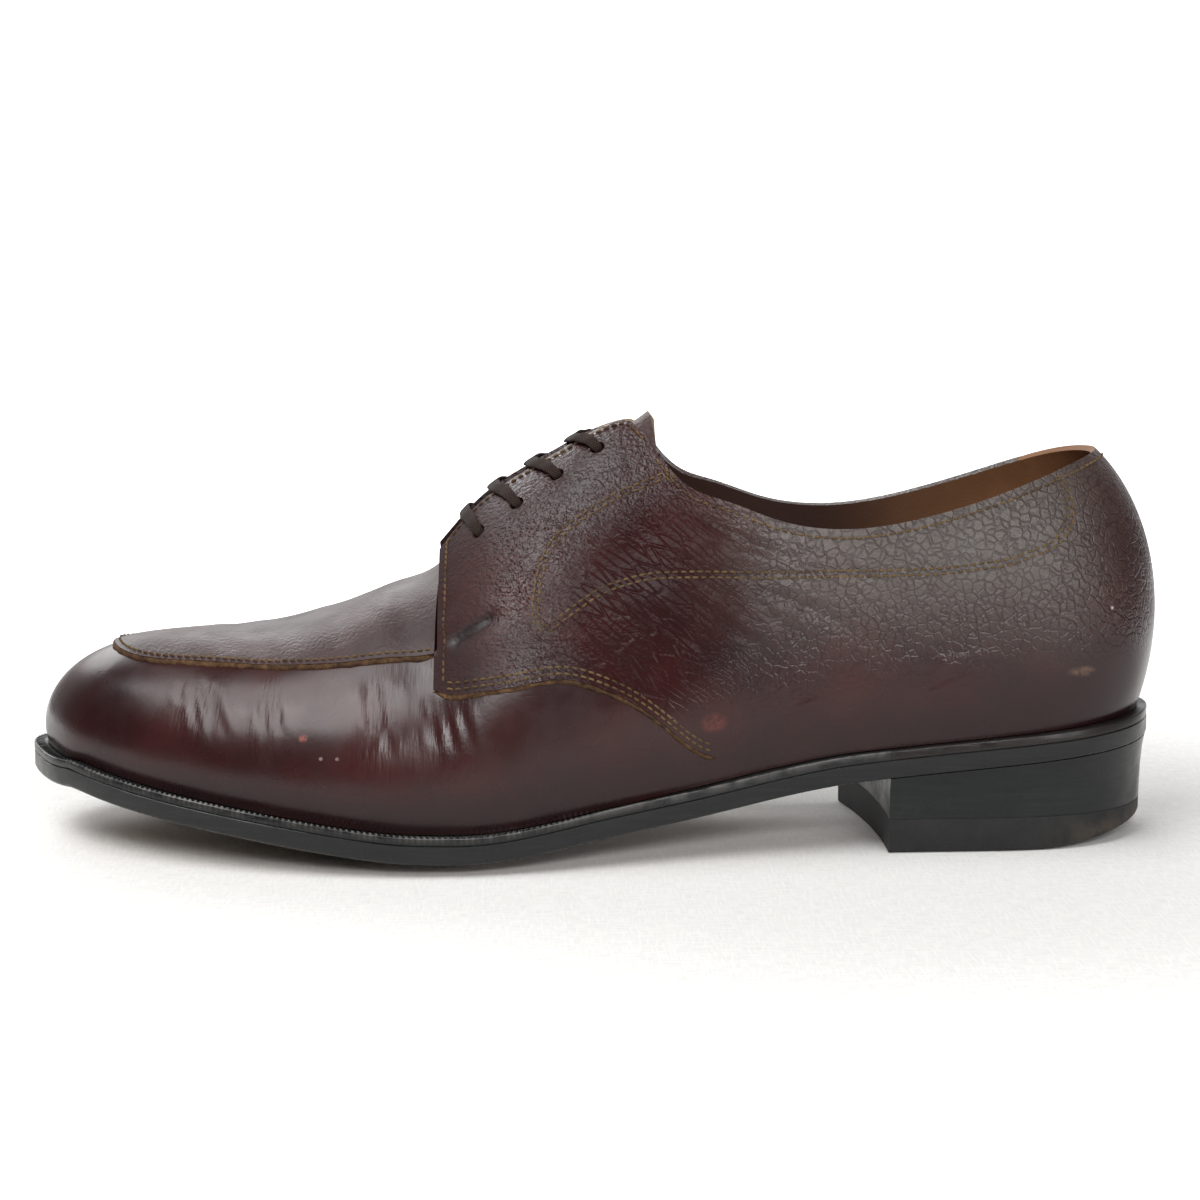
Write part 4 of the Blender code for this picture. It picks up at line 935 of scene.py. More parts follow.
def make_lip(name, side_places, raw_edge, seed):
    """The raw cut edge that shows as a thin uneven lip at the foot of an overlay's step."""
    points, outwards, downs = [], [], []
    for side, along, share in side_places:
        base, normal = outer_point(side, along, share - 0.004)
        above = form(side, along, share + 0.01)
        points.append(base)
        outwards.append(normal)
        downs.append(unit(form(side, along, share - 0.01) - above))
    points, outwards, downs = (np.concatenate(v) for v in (points, outwards, downs))
    reached = lengths_along(points)
    wide = LIP_WIDTH + LIP_WOBBLE * wobble(reached / LIP_WAVE, seed)
    ends = smoothstep(0, LIP_TAPER, reached) * smoothstep(reached[-1], reached[-1] - LIP_TAPER, reached)
    corners = []
    for down, out in zip(*LIP_SECTION.values()):
        lower = downs * (down * wide * (0.3 + 0.7 * ends))[:, None]
        corners.append(points + lower + outwards * (out * (0.2 + 0.8 * ends))[:, None])
    corners = np.stack(corners, 1)
    index = np.arange(corners.size // 3).reshape(corners.shape[:2]).tolist()
    faces = [index[0], index[-1]] + tube_faces(index)
    return make(name, corners.reshape(-1, 3), faces, (raw_edge,))


def make_lips(raw_edge):
    around = stations(SLIT + 0.001, TOE_TIP, 130)
    share = APRON_AT["share"](around)
    sides = ((LATERAL, around, share), (MEDIAL, around[-2::-1], share[-2::-1]))
    make_lip("apron_lip", sides, raw_edge, 3)
    for side in (LATERAL, MEDIAL):
        along = np.linspace(QUARTER_LIP_START, SLIT + 0.001, 110)
        places = ((side, along, QUARTER_AT["share"](along)),)
        make_lip(f"quarter_lip_{side_name(side)}", places, raw_edge, 5 + side)


def ring_of(rows, across):
    """Places round the edge of a grid: along the lateral side, over the front, and back."""
    ahead = [(row, 0) for row in range(rows)]
    front = [(rows - 1, i) for i in range(1, across)]
    back = [(row, across - 1) for row in range(rows - 2, -1, -1)]
    return ahead + front + back + [(0, i) for i in range(across - 2, 0, -1)]


def make_slab(name, plan, levels, materials, node, low_index=0):
    """A solid from its lowest to its highest level. Each level has an inset and its height over the plan."""
    points, rings, caps, faces, face_materials = [], [], [], [], []
    for inset, height in levels:
        x, y = plan(inset)
        grid = np.stack([x, y, height(x, y)], -1)
        ring = ring_of(*x.shape)
        rings.append(list(range(len(points), len(points) + len(ring))))
        points += [grid[place] for place in ring]
        caps.append(grid)
    faces += tube_faces(rings)
    face_materials += [0] * len(faces)
    for grid, number in ((caps[0], low_index), (caps[-1], 0)):
        index = np.arange(grid[..., 0].size).reshape(grid.shape[:2]) + len(points)
        points += list(grid.reshape(-1, 3))
        new = grid_faces(list(range(len(points))), index.tolist(), False)
        faces += new
        face_materials += [number] * len(new)
    piece = make(name, points, faces, materials, face_materials)
    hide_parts(node)
    return piece


def across_points(lateral, medial):
    """Grid in plan between matching points of the two sides."""
    share = (ACROSS + 1) / 2
    return tuple(np.outer(low, 1 - share) + np.outer(high, share) for low, high in zip(lateral, medial))


def over_tread(rise):
    """Height function of a surface that follows the sole's under side."""
    return lambda x, y: sole_height(x, y) + rise


def make_outsole(edge, tread_leather):
    places = stations(HEEL_BACK, TOE_TIP, SOLE_ROWS)

    def plan(inset):
        sides = (LATERAL, MEDIAL)
        return across_points(*(outline(side, places, sole_reach(side, places) - inset) for side in sides))

    levels = (
        (TREAD_BEVEL, over_tread(0.0)),
        (TREAD_BEVEL * 0.3, over_tread(TREAD_BEVEL * 0.3)),
        (0.0, over_tread(TREAD_BEVEL)),
        (0.0, over_tread(OUTSOLE - 0.25)),
        (0.25, over_tread(OUTSOLE)),
    )
    return make_slab("dressed_outsole", plan, levels, (edge, tread_leather), "outsole", 1)


def make_insole(leather):
    places = stations(HEEL_BACK, TOE_TIP, SOLE_ROWS)

    def plan(inset):
        return across_points(*(outline(side, places, -INSOLE_INSET - inset) for side in (LATERAL, MEDIAL)))

    high = OUTSOLE + GAP + INSOLE
    levels = ((0.0, over_tread(OUTSOLE + GAP)), (0.0, over_tread(high - 1.0)), (0.9, over_tread(high)))
    return make_slab("dressed_insole", plan, levels, (leather,), "insole")


def heel_plan(inset):
    """Grid in plan of the heel, from its back to the hollow, askew breast."""
    lateral, medial = (stations(HEEL_BACK, breast, HEEL_ROWS) for breast in (BREAST_LATERAL, BREAST_MEDIAL))
    ends = zip((LATERAL, MEDIAL), (lateral, medial))
    x, y = across_points(*(outline(side, places, sole_reach(side, places) - inset) for side, places in ends))
    to_front = np.linspace(0, 1, HEEL_ROWS + 1)[:, None] ** 12
    return x + BREAST_HOLLOW * to_front * (1 - ACROSS ** 2), y


def level(height):
    """Height function of a flat surface."""
    return lambda x, y: np.full_like(x, height)


def worn(x, y):
    """Under side of the top lift: flat, then worn away towards the back."""
    return WEAR * np.clip((WEAR_START - along_of(x)) / (WEAR_START - HEEL_BACK), 0, None) ** WEAR_CURVE


def make_heel(stack_leather, rubber, worn_rubber):
    low = TOP_LIFT + 0.05

    def between(share):
        return lambda x, y: low + (sole_height(x, y) - 0.05 - low) * share

    levels = [
        (HEEL_INSET + HEEL_TAPER, between(0.0)),
        (HEEL_INSET + HEEL_TAPER * 0.93, between(0.25)),
        (HEEL_INSET + HEEL_WAIST, between(0.5)),
        (HEEL_INSET + HEEL_WAIST * 0.6, between(0.8)),
        (HEEL_INSET, between(1.0)),
    ]
    make_slab("dressed_heel_stack", heel_plan, levels, (stack_leather,), "heel_stack")
    inset = HEEL_INSET + HEEL_TAPER
    levels = (
        (inset + TREAD_BEVEL, worn),
        (inset + TREAD_BEVEL * 0.3, lambda x, y: worn(x, y) + TREAD_BEVEL * 0.3),
        (inset, lambda x, y: worn(x, y) + TREAD_BEVEL),
        (inset, level(TOP_LIFT - 0.15)),
        (inset + 0.15, level(TOP_LIFT)),
    )
    make_slab("dressed_top_lift", heel_plan, levels, (rubber, worn_rubber), "top_lift", 1)


def make_strip(name, run, materials, node, rib_pitch=0.0):
    """A strip under the upper's edge through a run of (side, along), with ribs on its top where asked."""
    points, rings, edge_light = [], [], []
    middle = np.array([np.array(outline(side, along, 0.0)) for side, along in run])
    reached = lengths_along(middle)
    for (side, along), length in zip(run, reached):
        outer = sole_reach(side, along) - WELT_STEP
        low, high = OUTSOLE + 0.05, OUTSOLE + GAP + WELT
        wheel, ribbed = 0.0, 0.0
        if rib_pitch:
            wheel = smoothstep(*RIBS_START, along) * (0.5 - 0.5 * np.cos(2 * np.pi * length / rib_pitch))
            ribbed = smoothstep(*BEAD_START, along)
        cut, bead = RIB_DEPTH * wheel, BEAD_DEPTH * ribbed
        # Each point of the section: reach, height, and the weight of the painted highlight on the top outer
        # corner.
        section = (
            (-WELT_INSET, low, 0), (outer - 0.22, low, 0), (outer, low + 0.22, 0),
            (outer, high - 0.40 - bead, 0.4),
            (outer - 0.10, high - 0.20 - bead, 1), (outer - 0.35, high - 0.08 - bead, 0.7),
            (outer - 0.55, high - 0.05 - cut, 0), (outer - 0.95, high - cut, 0), (outer - 2.7, high - cut, 0),
            (outer - 3.0, high, 0), (-WELT_INSET, high, 0),
        )
        ring = []
        for reach, height, light in section:
            x, y = outline(side, along, reach)
            ring.append(len(points))
            points.append((x, y, sole_height(x, y) + height))
            # The surface layer holds the weights of the painted highlight and of the painted shade in the
            # wheel's grooves.
            edge_light.append((light, wheel, 0, 1))
        rings.append(ring)
    faces = [rings[0], rings[-1]] + tube_faces(rings)
    piece = make(name, points, faces, materials, None, {"surface": np.array(edge_light)})
    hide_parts(node)
    return piece


def make_welt_and_rand(welt_leather, rand_leather):
    lateral, medial = (stations(breast, TOE_TIP, 900) for breast in (BREAST_LATERAL, BREAST_MEDIAL))
    run = [(LATERAL, along) for along in lateral] + [(MEDIAL, along) for along in medial[-2::-1]]
    make_strip("dressed_welt", run, (welt_leather,), "welt", RIB_PITCH)
    gap = 0.05 / LENGTH
    lateral, medial = (stations(HEEL_BACK, end - gap, 60) for end in (BREAST_LATERAL, BREAST_MEDIAL))
    run = [(LATERAL, along) for along in lateral[::-1]] + [(MEDIAL, along) for along in medial[1:]]
    make_strip("dressed_heel_rand", run, (rand_leather,), "heel_rand")


def make_tongue(leather, cut_edge):
    """A thick sheet under the facings, from below the vamp to a slanted end over the instep."""
    shares = 1 - (1 - TONGUE_SIDE) * np.linspace(1, 0, 14) ** 1.3
    outer = []
    for part in np.linspace(0, 1, TONGUE_ROWS + 1):
        for side, places in ((LATERAL, shares), (MEDIAL, shares[-2::-1])):
            end = TONGUE_END - TONGUE_SLANT * (1 - places) / (1 - TONGUE_SIDE)
            along = TONGUE_FRONT + (end - TONGUE_FRONT) * part
            middle = smoothstep(0.82, 0.97, places)
            depth = TONGUE_AT["side"](along) * (1 - middle) + TONGUE_AT["middle"](along) * middle
            outer += list(form(side, along, places) - normal_of(form, side, along, places) * depth[:, None])
    outer = np.array(outer)
    across = 2 * len(shares) - 1
    rows = [list(range(row * across, (row + 1) * across)) for row in range(TONGUE_ROWS + 1)]
    faces = grid_faces(list(range(len(outer))), rows, True)
    normals = surface_normals(outer, faces)
    normals *= np.sign(normals[:, 2:])
    points, faces = thick_sheet(outer, outer - normals * TONGUE, faces)
    sheet_count = TONGUE_ROWS * (across - 1)
    face_materials = [0] * sheet_count + [1] * (len(faces) - sheet_count)
    piece = make("dressed_tongue", points, faces, (leather, cut_edge), face_materials)
    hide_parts("tongue")
    return piece


def ribbon(name, points, wide, width_share, lace, node=None):
    """A flat woven lace along a smooth line through points. wide gives its width direction at each point."""
    knots = lengths_along(points)
    path = [spline(knots, points[:, i]) for i in range(3)]
    places = np.linspace(0, knots[-1], LACE_RINGS)
    line = np.stack([axis(places) for axis in path], -1)
    ahead = unit(np.stack([axis(places + 0.2) - axis(places - 0.2) for axis in path], -1))
    drawn_in = np.interp(places, knots, width_share)[:, None]
    wide = points_at(places, knots, wide)
    wide = unit(wide - ahead * (wide * ahead).sum(1, keepdims=True))
    thick = np.cross(ahead, wide)
    half, deep = LACE_WIDTH / 2, LACE_THICKNESS / 2
    turn = np.linspace(0, 2 * np.pi, LACE_SIDES, endpoint=False)
    section = [(half * np.sign(np.cos(t)) * abs(np.cos(t)) ** 0.55, deep * np.sin(t)) for t in turn]
    corners = np.stack([line + wide * drawn_in * a + thick * b for a, b in section], 1)
    index = np.arange(corners.size // 3).reshape(corners.shape[:2]).tolist()
    faces = [index[0], index[-1]] + tube_faces(index)
    around = np.tile(np.array([a for a, _ in section]) / 10, len(places))
    chart = np.stack([np.repeat(places / 10, len(section)), around], 1)
    piece = make(name, corners.reshape(-1, 3), faces, (lace,), None, {"chart": chart})
    if node:
        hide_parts(node)
    return piece


def lace_side(side, number):
    """Points of a lace on a facing, from its eyelet to the facing's edge, and the direction of its width."""
    along, share, crossing = (EYELETS[name][number] for name in ("along", "share", "crossing"))
    edge = top_share(side, crossing)[0]
    points = []
    for part, height in zip(LACE_RUN["part"], LACE_RUN["height"]):
        place = along + (crossing - along) * part
        points.append(on_facing(side, place, share + (edge - share) * part, height)[0])
    middle = (along + crossing) / 2
    back, front = (on_facing(side, middle + step, share, 0.0)[0] for step in (-0.01, 0.01))
    return points, unit(back - front)


def make_laces(lace):
    """Straight bars over the facings, and the runs between eyelets under them, up to the top eyelets."""
    width = LACE_RUN["width"]
    for number in range(len(EYELETS["along"])):
        (near, near_wide), (far, far_wide) = lace_side(LATERAL, number), lace_side(MEDIAL, number)
        points = np.array(near + [(near[-1] + far[-1]) / 2] + far[::-1])
        blend = smoothstep(0, len(points) - 1, np.arange(len(points)))[:, None]
        wide = near_wide * (1 - blend) + far_wide * blend
        widths = (*width, 1.0, *width[::-1])
        ribbon(f"lace_{number + 1}", points, wide, widths, lace, f"lace_bar_{number + 1}")
    for side, first, second in UNDER_PAIRS:
        points = []
        for t, height in zip(UNDER_RUN["part"], UNDER_RUN["height"]):
            along, share = (EYELETS[n][first] * (1 - t) + EYELETS[n][second] * t for n in ("along", "share"))
            points.append(on_facing(side, along, share - 0.01 * (0 < t < 1), height)[0])
        points = np.array(points)
        down = on_facing(side, EYELETS["along"][first], EYELETS["share"][first] - 0.05, -3.0)[0] - points[0]
        wide = np.repeat(unit(down)[None], len(points), 0)
        ribbon(f"lace_under_{side_name(side)}_{first + 1}", points, wide, UNDER_RUN["width"], lace)


def set_stops(node, stops):
    """Gives a colour ramp its stops of (place, colour)."""
    elements = node.color_ramp.elements
    while len(elements) < len(stops):
        elements.new(0.5)
    for element, (place, colour) in zip(elements, stops):
        element.position = place
        element.color = (*colour, 1.0)


class Nodes:
    """Short ways to add and join shader nodes of one material."""

    def __init__(self, name):
        self.material = bpy.data.materials.new(name)
        self.material.use_nodes = True
        self.tree = self.material.node_tree
        self.shader = self.tree.nodes["Principled BSDF"]

    def put(self, socket, value):
        """Joins a socket to another, or sets its value."""
        if isinstance(value, bpy.types.NodeSocket):
            self.tree.links.new(value, socket)
        elif socket.type == "RGBA" and len(value) == 3:
            socket.default_value = (*value, 1.0)
        else:
            socket.default_value = value

    def add(self, kind, values=None, **settings):
        node = self.tree.nodes.new(kind)
        for name, value in settings.items():
            setattr(node, name, value)
        for name, value in (values or {}).items():
            self.put(node.inputs[name], value)
        return node

    def set(self, **values):
        for name, value in values.items():
            self.put(self.shader.inputs[name.replace("_", " ")], value)
        return self.material

    def place(self, scale=(1, 1, 1), chart=None):
        """Coordinates in metres of the row's frame, or of a chart on the mesh, stretched by scale."""
        if chart:
            source = self.add("ShaderNodeUVMap", uv_map=chart).outputs[0]
        else:
            source = self.add("ShaderNodeTexCoord").outputs["Object"]
        return self.add("ShaderNodeMapping", {"Vector": source, "Scale": scale}).outputs[0]

    def turned(self, angle, scale=(1, 1, 1)):
        """The mesh's chart, turned and then stretched."""
        values = {"Vector": self.place((1, 1, 1), "chart"), "Rotation": (0, 0, angle)}
        chart = self.add("ShaderNodeMapping", values).outputs[0]
        return self.add("ShaderNodeMapping", {"Vector": chart, "Scale": scale}).outputs[0]

    def noise(self, scale, detail=4.0, roughness=0.55, place=None):
        values = {"Vector": place or self.place(), "Scale": scale, "Detail": detail, "Roughness": roughness}
        return self.add("ShaderNodeTexNoise", values).outputs["Fac"]

    def cells(self, scale, place=None, feature="F1", dimensions="3D"):
        node = self.add("ShaderNodeTexVoronoi", feature=feature, voronoi_dimensions=dimensions)
        self.put(node.inputs["Vector"], place or self.place())
        self.put(node.inputs["Scale"], scale)
        return node.outputs["Distance"]

    def math(self, operation, a, b=0.0):
        node = self.add("ShaderNodeMath", operation=operation)
        self.put(node.inputs[0], a)
        self.put(node.inputs[1], b)
        return node.outputs[0]

    def ramp(self, factor, *stops):
        """Colour over a factor, from stops of (place, colour)."""
        node = self.add("ShaderNodeValToRGB", {"Fac": factor})
        set_stops(node, stops)
        return node.outputs["Color"]

    def span(self, factor, low, high, to_low=0.0, to_high=1.0):
        values = {"Value": factor, "From Min": low, "From Max": high, "To Min": to_low, "To Max": to_high}
        return self.add("ShaderNodeMapRange", values, interpolation_type="SMOOTHSTEP").outputs[0]

    def mix(self, factor, a, b):
        node = self.add("ShaderNodeMix", data_type="RGBA")
        for number, value in ((0, factor), (6, a), (7, b)):
            self.put(node.inputs[number], value)
        return node.outputs[2]

    def bump(self, height, distance):
        values = {"Height": height, "Distance": distance, "Strength": 1.0}
        return self.add("ShaderNodeBump", values).outputs[0]

    def surface(self):
        """The mesh's own weights: red, green, blue and alpha of its surface layer."""
        layer = self.add("ShaderNodeVertexColor", layer_name="surface").outputs
        return *self.add("ShaderNodeSeparateColor", {"Color": layer["Color"]}).outputs, layer["Alpha"]


# Textures of the upper's leather, as repeats in a metre.
LEATHER = {
    "patches": 70.0, "sway": 420.0, "grain": 900.0, "cracks": 390.0,
    "waves": 45.0, "cloud": 26.0, "torn": 700.0, "gloss": 90.0,
}

# Heights of those textures in millimetres. A pair is for the front of the shoe and for the rear quarter.
LEATHER_HEIGHT = {"fine": (0.52, 0.24), "coarse": (0.06, 0.13), "lines": 0.10, "folds": 0.14, "waves": 0.55}

# How far the cracks sway, in metres, and the turn and stretch of the slanted lines.
SWAY = (0.0016, 0.0016, 0.0016)
SLANT, SLANT_STRETCH = -0.62, (11, 52, 1)

# Colours of the leather: its clouds, a painted sheen on the upper rear quarter, the dark of cracks, and
# painted shade with the darker polished toe.
LEATHER_TONES = (
    (0.30, (0.0170, 0.0046, 0.0054)),
    (0.52, (0.0290, 0.0063, 0.0062)),
    (0.74, (0.0450, 0.0090, 0.0074)),
)
PAINTED_SHEEN_TONE, CRACK_DARK, SHADE_AND_POLISH_DARK = (0.095, 0.080, 0.071), (0.010, 0.004, 0.005), (0.006, 0.0026, 0.0030)
LEATHER_SHINE, PATCH_SHINE = 0.42, 0.08


def upper_leather():
    """Polished burgundy-brown leather: grain where the surface layer asks, fine wrinkles elsewhere."""
    n = Nodes("grain_leather")
    pebble, wrinkle, hollow, slanted = n.surface()
    patches = n.noise(LEATHER["patches"], 0.0)
    uneven = n.math("MULTIPLY", pebble, n.span(patches, 0.3, 0.7, 0.55, 1.25))
    values = {"Vector": n.place(), "Scale": LEATHER["sway"], "Detail": 0.0}
    shift = n.add("ShaderNodeTexNoise", values).outputs["Color"]
    sway = {0: shift, 1: SWAY, 2: n.place()}
    bent = n.add("ShaderNodeVectorMath", sway, operation="MULTIPLY_ADD").outputs[0]
    grain = n.noise(LEATHER["grain"], 1.0)
    cracks = n.span(n.cells(LEATHER["cracks"], bent, "DISTANCE_TO_EDGE"), 0.0, 0.15)
    streaks = n.noise(1.0, 2.0, 0.6, n.place((95, 15, 1), "chart"))
    towards_heel, _, upwards = n.add("ShaderNodeSeparateXYZ", {"Vector": n.place()}).outputs
    fine = n.math("MULTIPLY", grain, n.span(towards_heel, 0.0, 0.05, *LEATHER_HEIGHT["fine"]))
    coarse = n.math("MULTIPLY", cracks, n.span(towards_heel, 0.0, 0.05, *LEATHER_HEIGHT["coarse"]))
    domes = n.math("MULTIPLY", n.math("ADD", fine, coarse), uneven)
    lines = n.cells(1.0, n.turned(SLANT, SLANT_STRETCH), "DISTANCE_TO_EDGE", "2D")
    lines = n.span(lines, 0.0, 0.16, 0.0, LEATHER_HEIGHT["lines"])
    domes = n.math("ADD", domes, n.math("MULTIPLY", lines, slanted))
    folds = n.math("MULTIPLY", n.math("MULTIPLY", streaks, wrinkle), LEATHER_HEIGHT["folds"])
    waves = n.math("MULTIPLY", n.noise(LEATHER["waves"], 1.0), LEATHER_HEIGHT["waves"])
    height = n.math("ADD", n.math("ADD", domes, folds), waves)
    normal = n.bump(height, MM)
    colour = n.ramp(n.noise(LEATHER["cloud"], 3.0, 0.6), *LEATHER_TONES)
    at_back = n.span(towards_heel, 0.116, 0.146, 1.0, 0.25)
    rear = n.math("MULTIPLY", n.span(towards_heel, 0.015, 0.070), at_back)
    sheen = n.math("MULTIPLY", rear, n.span(upwards, 0.045, 0.078))
    # The pale grey mixed in over the upper rear quarter is a painted sheen.
    colour = n.mix(n.math("MULTIPLY", sheen, 0.70), colour, PAINTED_SHEEN_TONE)
    in_cracks = n.math("MULTIPLY", n.span(cracks, 0.0, 0.8, 0.45, 0.0), pebble)
    colour = n.mix(in_cracks, colour, CRACK_DARK)
    # Painted shade in the deep folds and low on the wall above the welt, together with the darker polished
    # toe.
    colour = n.mix(n.math("MULTIPLY", hollow, 0.85), colour, SHADE_AND_POLISH_DARK)
    torn = n.noise(LEATHER["torn"], 2.0)
    for along, share, size, stretch, mark in MARKS:
        middle = to_row(outer_point(LATERAL, [along], [share])[0])[0]
        squeeze = (1 / stretch, 1.0, 1.0)
        ends = {0: n.place(squeeze), 1: tuple(middle * squeeze)}
        away = n.add("ShaderNodeVectorMath", ends, operation="DISTANCE")
        spot = n.span(away.outputs["Value"], size * MM * 0.2, size * MM * 0.7, 1.0, 0.0)
        colour = n.mix(n.math("MULTIPLY", spot, n.span(torn, 0.20, 0.65)), colour, mark)
    wear_and_highlight = n.math("MULTIPLY", pebble, n.span(towards_heel, -0.04, -0.02, 0.65, 0.08))
    wear_and_highlight = n.math("ADD", wear_and_highlight, n.math("MULTIPLY", sheen, 0.10))
    rough = n.math("ADD", n.span(n.noise(LEATHER["gloss"], 2.0), 0.2, 0.8, 0.20, 0.31), wear_and_highlight)
    # The constant stands in wherever the joined weights are not kept.
    n.set(Specular_IOR_Level=LEATHER_SHINE)
    shine = n.span(slanted, 0.0, 0.8, LEATHER_SHINE, PATCH_SHINE)
    return n.set(Base_Color=colour, Roughness=rough, Normal=normal, Specular_IOR_Level=shine)


def lining_leather():
    """Tan at the heel, and darker brown towards the instep."""
    n = Nodes("lining_leather")
    tan = n.ramp(n.noise(40.0, 3.0), (0.3, (0.150, 0.066, 0.030)), (0.7, (0.260, 0.125, 0.060)))
    back = n.add("ShaderNodeSeparateXYZ", {"Vector": n.place()}).outputs[0]
    colour = n.mix(n.span(back, 0.060, 0.120), (0.040, 0.019, 0.014), tan)
    normal = n.bump(n.noise(1500.0, 2.0), 0.00010)
    return n.set(Base_Color=colour, Roughness=0.62, Normal=normal, Specular_IOR_Level=0.25)


def simple_material(name, tones, stops, grain, depth, rough, shine):
    """Colour over one noise and a fine bump from another. A noise is its scale, detail and roughness."""
    n = Nodes(name)
    colour = n.ramp(n.noise(*tones), *stops)
    normal = n.bump(n.noise(*grain), depth)
    return n.set(Base_Color=colour, Roughness=rough, Normal=normal, Specular_IOR_Level=shine)


def raw_edge_leather():
    stops = ((0.32, (0.022, 0.010, 0.006)), (0.52, (0.075, 0.038, 0.017)), (0.75, (0.165, 0.092, 0.042)))
    return simple_material("raw_edge", (420.0, 4.0, 0.7), stops, (1400.0, 4.0, 0.7), 0.0004, 0.75, 0.2)


def thread_cotton():
    stops = ((0.35, (0.052, 0.031, 0.014)), (0.65, (0.140, 0.086, 0.036)))
    return simple_material("thread", (160.0, 3.0), stops, (3500.0, 2.0), 0.0001, 0.7, 0.25)


def cut_edge_leather():
    stops = ((0.3, (0.200, 0.140, 0.085)), (0.7, (0.430, 0.330, 0.220)))
    return simple_material("cut_edge", (600.0, 4.0, 0.7), stops, (2200.0, 4.0, 0.7), 0.0003, 0.85, 0.15)


def insole_leather():
    stops = ((0.3, (0.130, 0.066, 0.032)), (0.7, (0.270, 0.150, 0.078)))
    return simple_material("insole_leather", (30.0, 6.0, 0.6), stops, (1100.0, 4.0), 0.0002, 0.6, 0.25)


# Scuffs of the stained edges, and the painted shade between the welt's ribs.
SCUFF_TONE, GROOVE_SHADE_TONE = (0.050, 0.047, 0.044), (0.004, 0.004, 0.004)


def stained_edge(name, colour, light=None):
    """Black stained and waxed sole leather with faint streaks, and a painted highlight in patches along the
    top outer corner where asked.
    """
    n = Nodes(name)
    streak = n.noise(1.0, 3.0, 0.6, n.place((60, 60, 900)))
    dark, light_streak = (tuple(c * part for c in colour) for part in (0.7, 1.7))
    tone = n.ramp(streak, (0.30, dark), (0.55, colour), (0.85, light_streak))
    scuff = n.span(n.noise(75.0, 5.0, 0.7), 0.64, 0.80)
    tone = n.mix(n.math("MULTIPLY", scuff, 0.25), tone, SCUFF_TONE)
    if light:
        # Painted highlight in patches, weighted by the first channel of the surface layer.
        wear_and_highlight = n.math("MULTIPLY", n.surface()[0], n.span(n.noise(220.0, 3.0), 0.35, 0.60))
        tone = n.mix(n.math("MULTIPLY", wear_and_highlight, 0.7), tone, light)
        # Painted shade in the grooves between the welt's ribs.
        tone = n.mix(n.math("MULTIPLY", n.surface()[1], 0.6), tone, GROOVE_SHADE_TONE)
    normal = n.bump(n.math("MULTIPLY", streak, 0.09), MM)
    rough = n.span(n.noise(130.0, 3.0), 0.3, 0.7, 0.24, 0.42)
    return n.set(Base_Color=tone, Roughness=rough, Normal=normal, Specular_IOR_Level=0.36)


def tread_leather():
    n = Nodes("tread_leather")
    stops = ((0.30, (0.060, 0.035, 0.020)), (0.55, (0.150, 0.090, 0.050)), (0.8, (0.250, 0.165, 0.100)))
    colour = n.ramp(n.noise(45.0, 6.0, 0.65), *stops)
    marks = n.span(n.noise(1.0, 5.0, 0.7, n.place((70, 420, 1))), 0.52, 0.70)
    colour = n.mix(n.math("MULTIPLY", marks, 0.6), colour, (0.030, 0.022, 0.017))
    normal = n.bump(n.noise(900.0, 5.0, 0.7), 0.0003)
    return n.set(Base_Color=colour, Roughness=0.7, Normal=normal, Specular_IOR_Level=0.25)


def heel_rubber(name, dusty):
    n = Nodes(name)
    colour = n.ramp(n.noise(120.0, 5.0, 0.65), (0.3, (0.007, 0.007, 0.0075)), (0.7, (0.015, 0.015, 0.0155)))
    back = n.add("ShaderNodeSeparateXYZ", {"Vector": n.place()})
    wear_and_highlight = n.math("MULTIPLY", n.span(back.outputs[0], 0.112, 0.150), n.span(back.outputs[2], 0.011, 0.002))
    wear_and_highlight = n.math("MULTIPLY", wear_and_highlight, n.span(n.noise(150.0, 5.0, 0.7), 0.35, 0.60))
    colour = n.mix(n.math("MULTIPLY", wear_and_highlight, 0.75), colour, (0.085, 0.062, 0.042))
    if dusty:
        colour = n.mix(n.math("MULTIPLY", n.noise(60.0, 6.0, 0.7), 0.5), colour, (0.075, 0.066, 0.055))
    normal = n.bump(n.noise(1300.0, 4.0, 0.7), 0.0002)
    return n.set(Base_Color=colour, Roughness=0.62, Normal=normal, Specular_IOR_Level=0.35)


def tongue_leather():
    n = Nodes("tongue_leather")
    colour = n.ramp(n.noise(60.0, 5.0), (0.3, (0.026, 0.011, 0.010)), (0.7, (0.060, 0.024, 0.020)))
    normal = n.bump(n.cells(700.0), 0.0002)
    return n.set(Base_Color=colour, Roughness=0.5, Normal=normal, Specular_IOR_Level=0.3)


def lace_cotton():
    """Flat braid: two sets of slanted strands."""
    n = Nodes("lace_cotton")
    strands = []
    for slant in (1, -1):
        values = {"Vector": n.turned(slant * 0.85), "Scale": 4.6, "Distortion": 0.4}
        strands.append(n.add("ShaderNodeTexWave", values, bands_direction="X").outputs["Fac"])
    weave = n.math("MAXIMUM", *strands)
    colour = n.ramp(weave, (0.25, (0.008, 0.005, 0.004)), (0.75, (0.034, 0.020, 0.016)))
    normal = n.bump(weave, 0.00022)
    return n.set(Base_Color=colour, Roughness=0.8, Normal=normal, Specular_IOR_Level=0.2)


# Colours of the cloth near the shoe, and of the painted shade on it in front and at the sides.
CLOTH, SHADED_CLOTH = (0.84, 0.83, 0.81), (0.40, 0.40, 0.40)


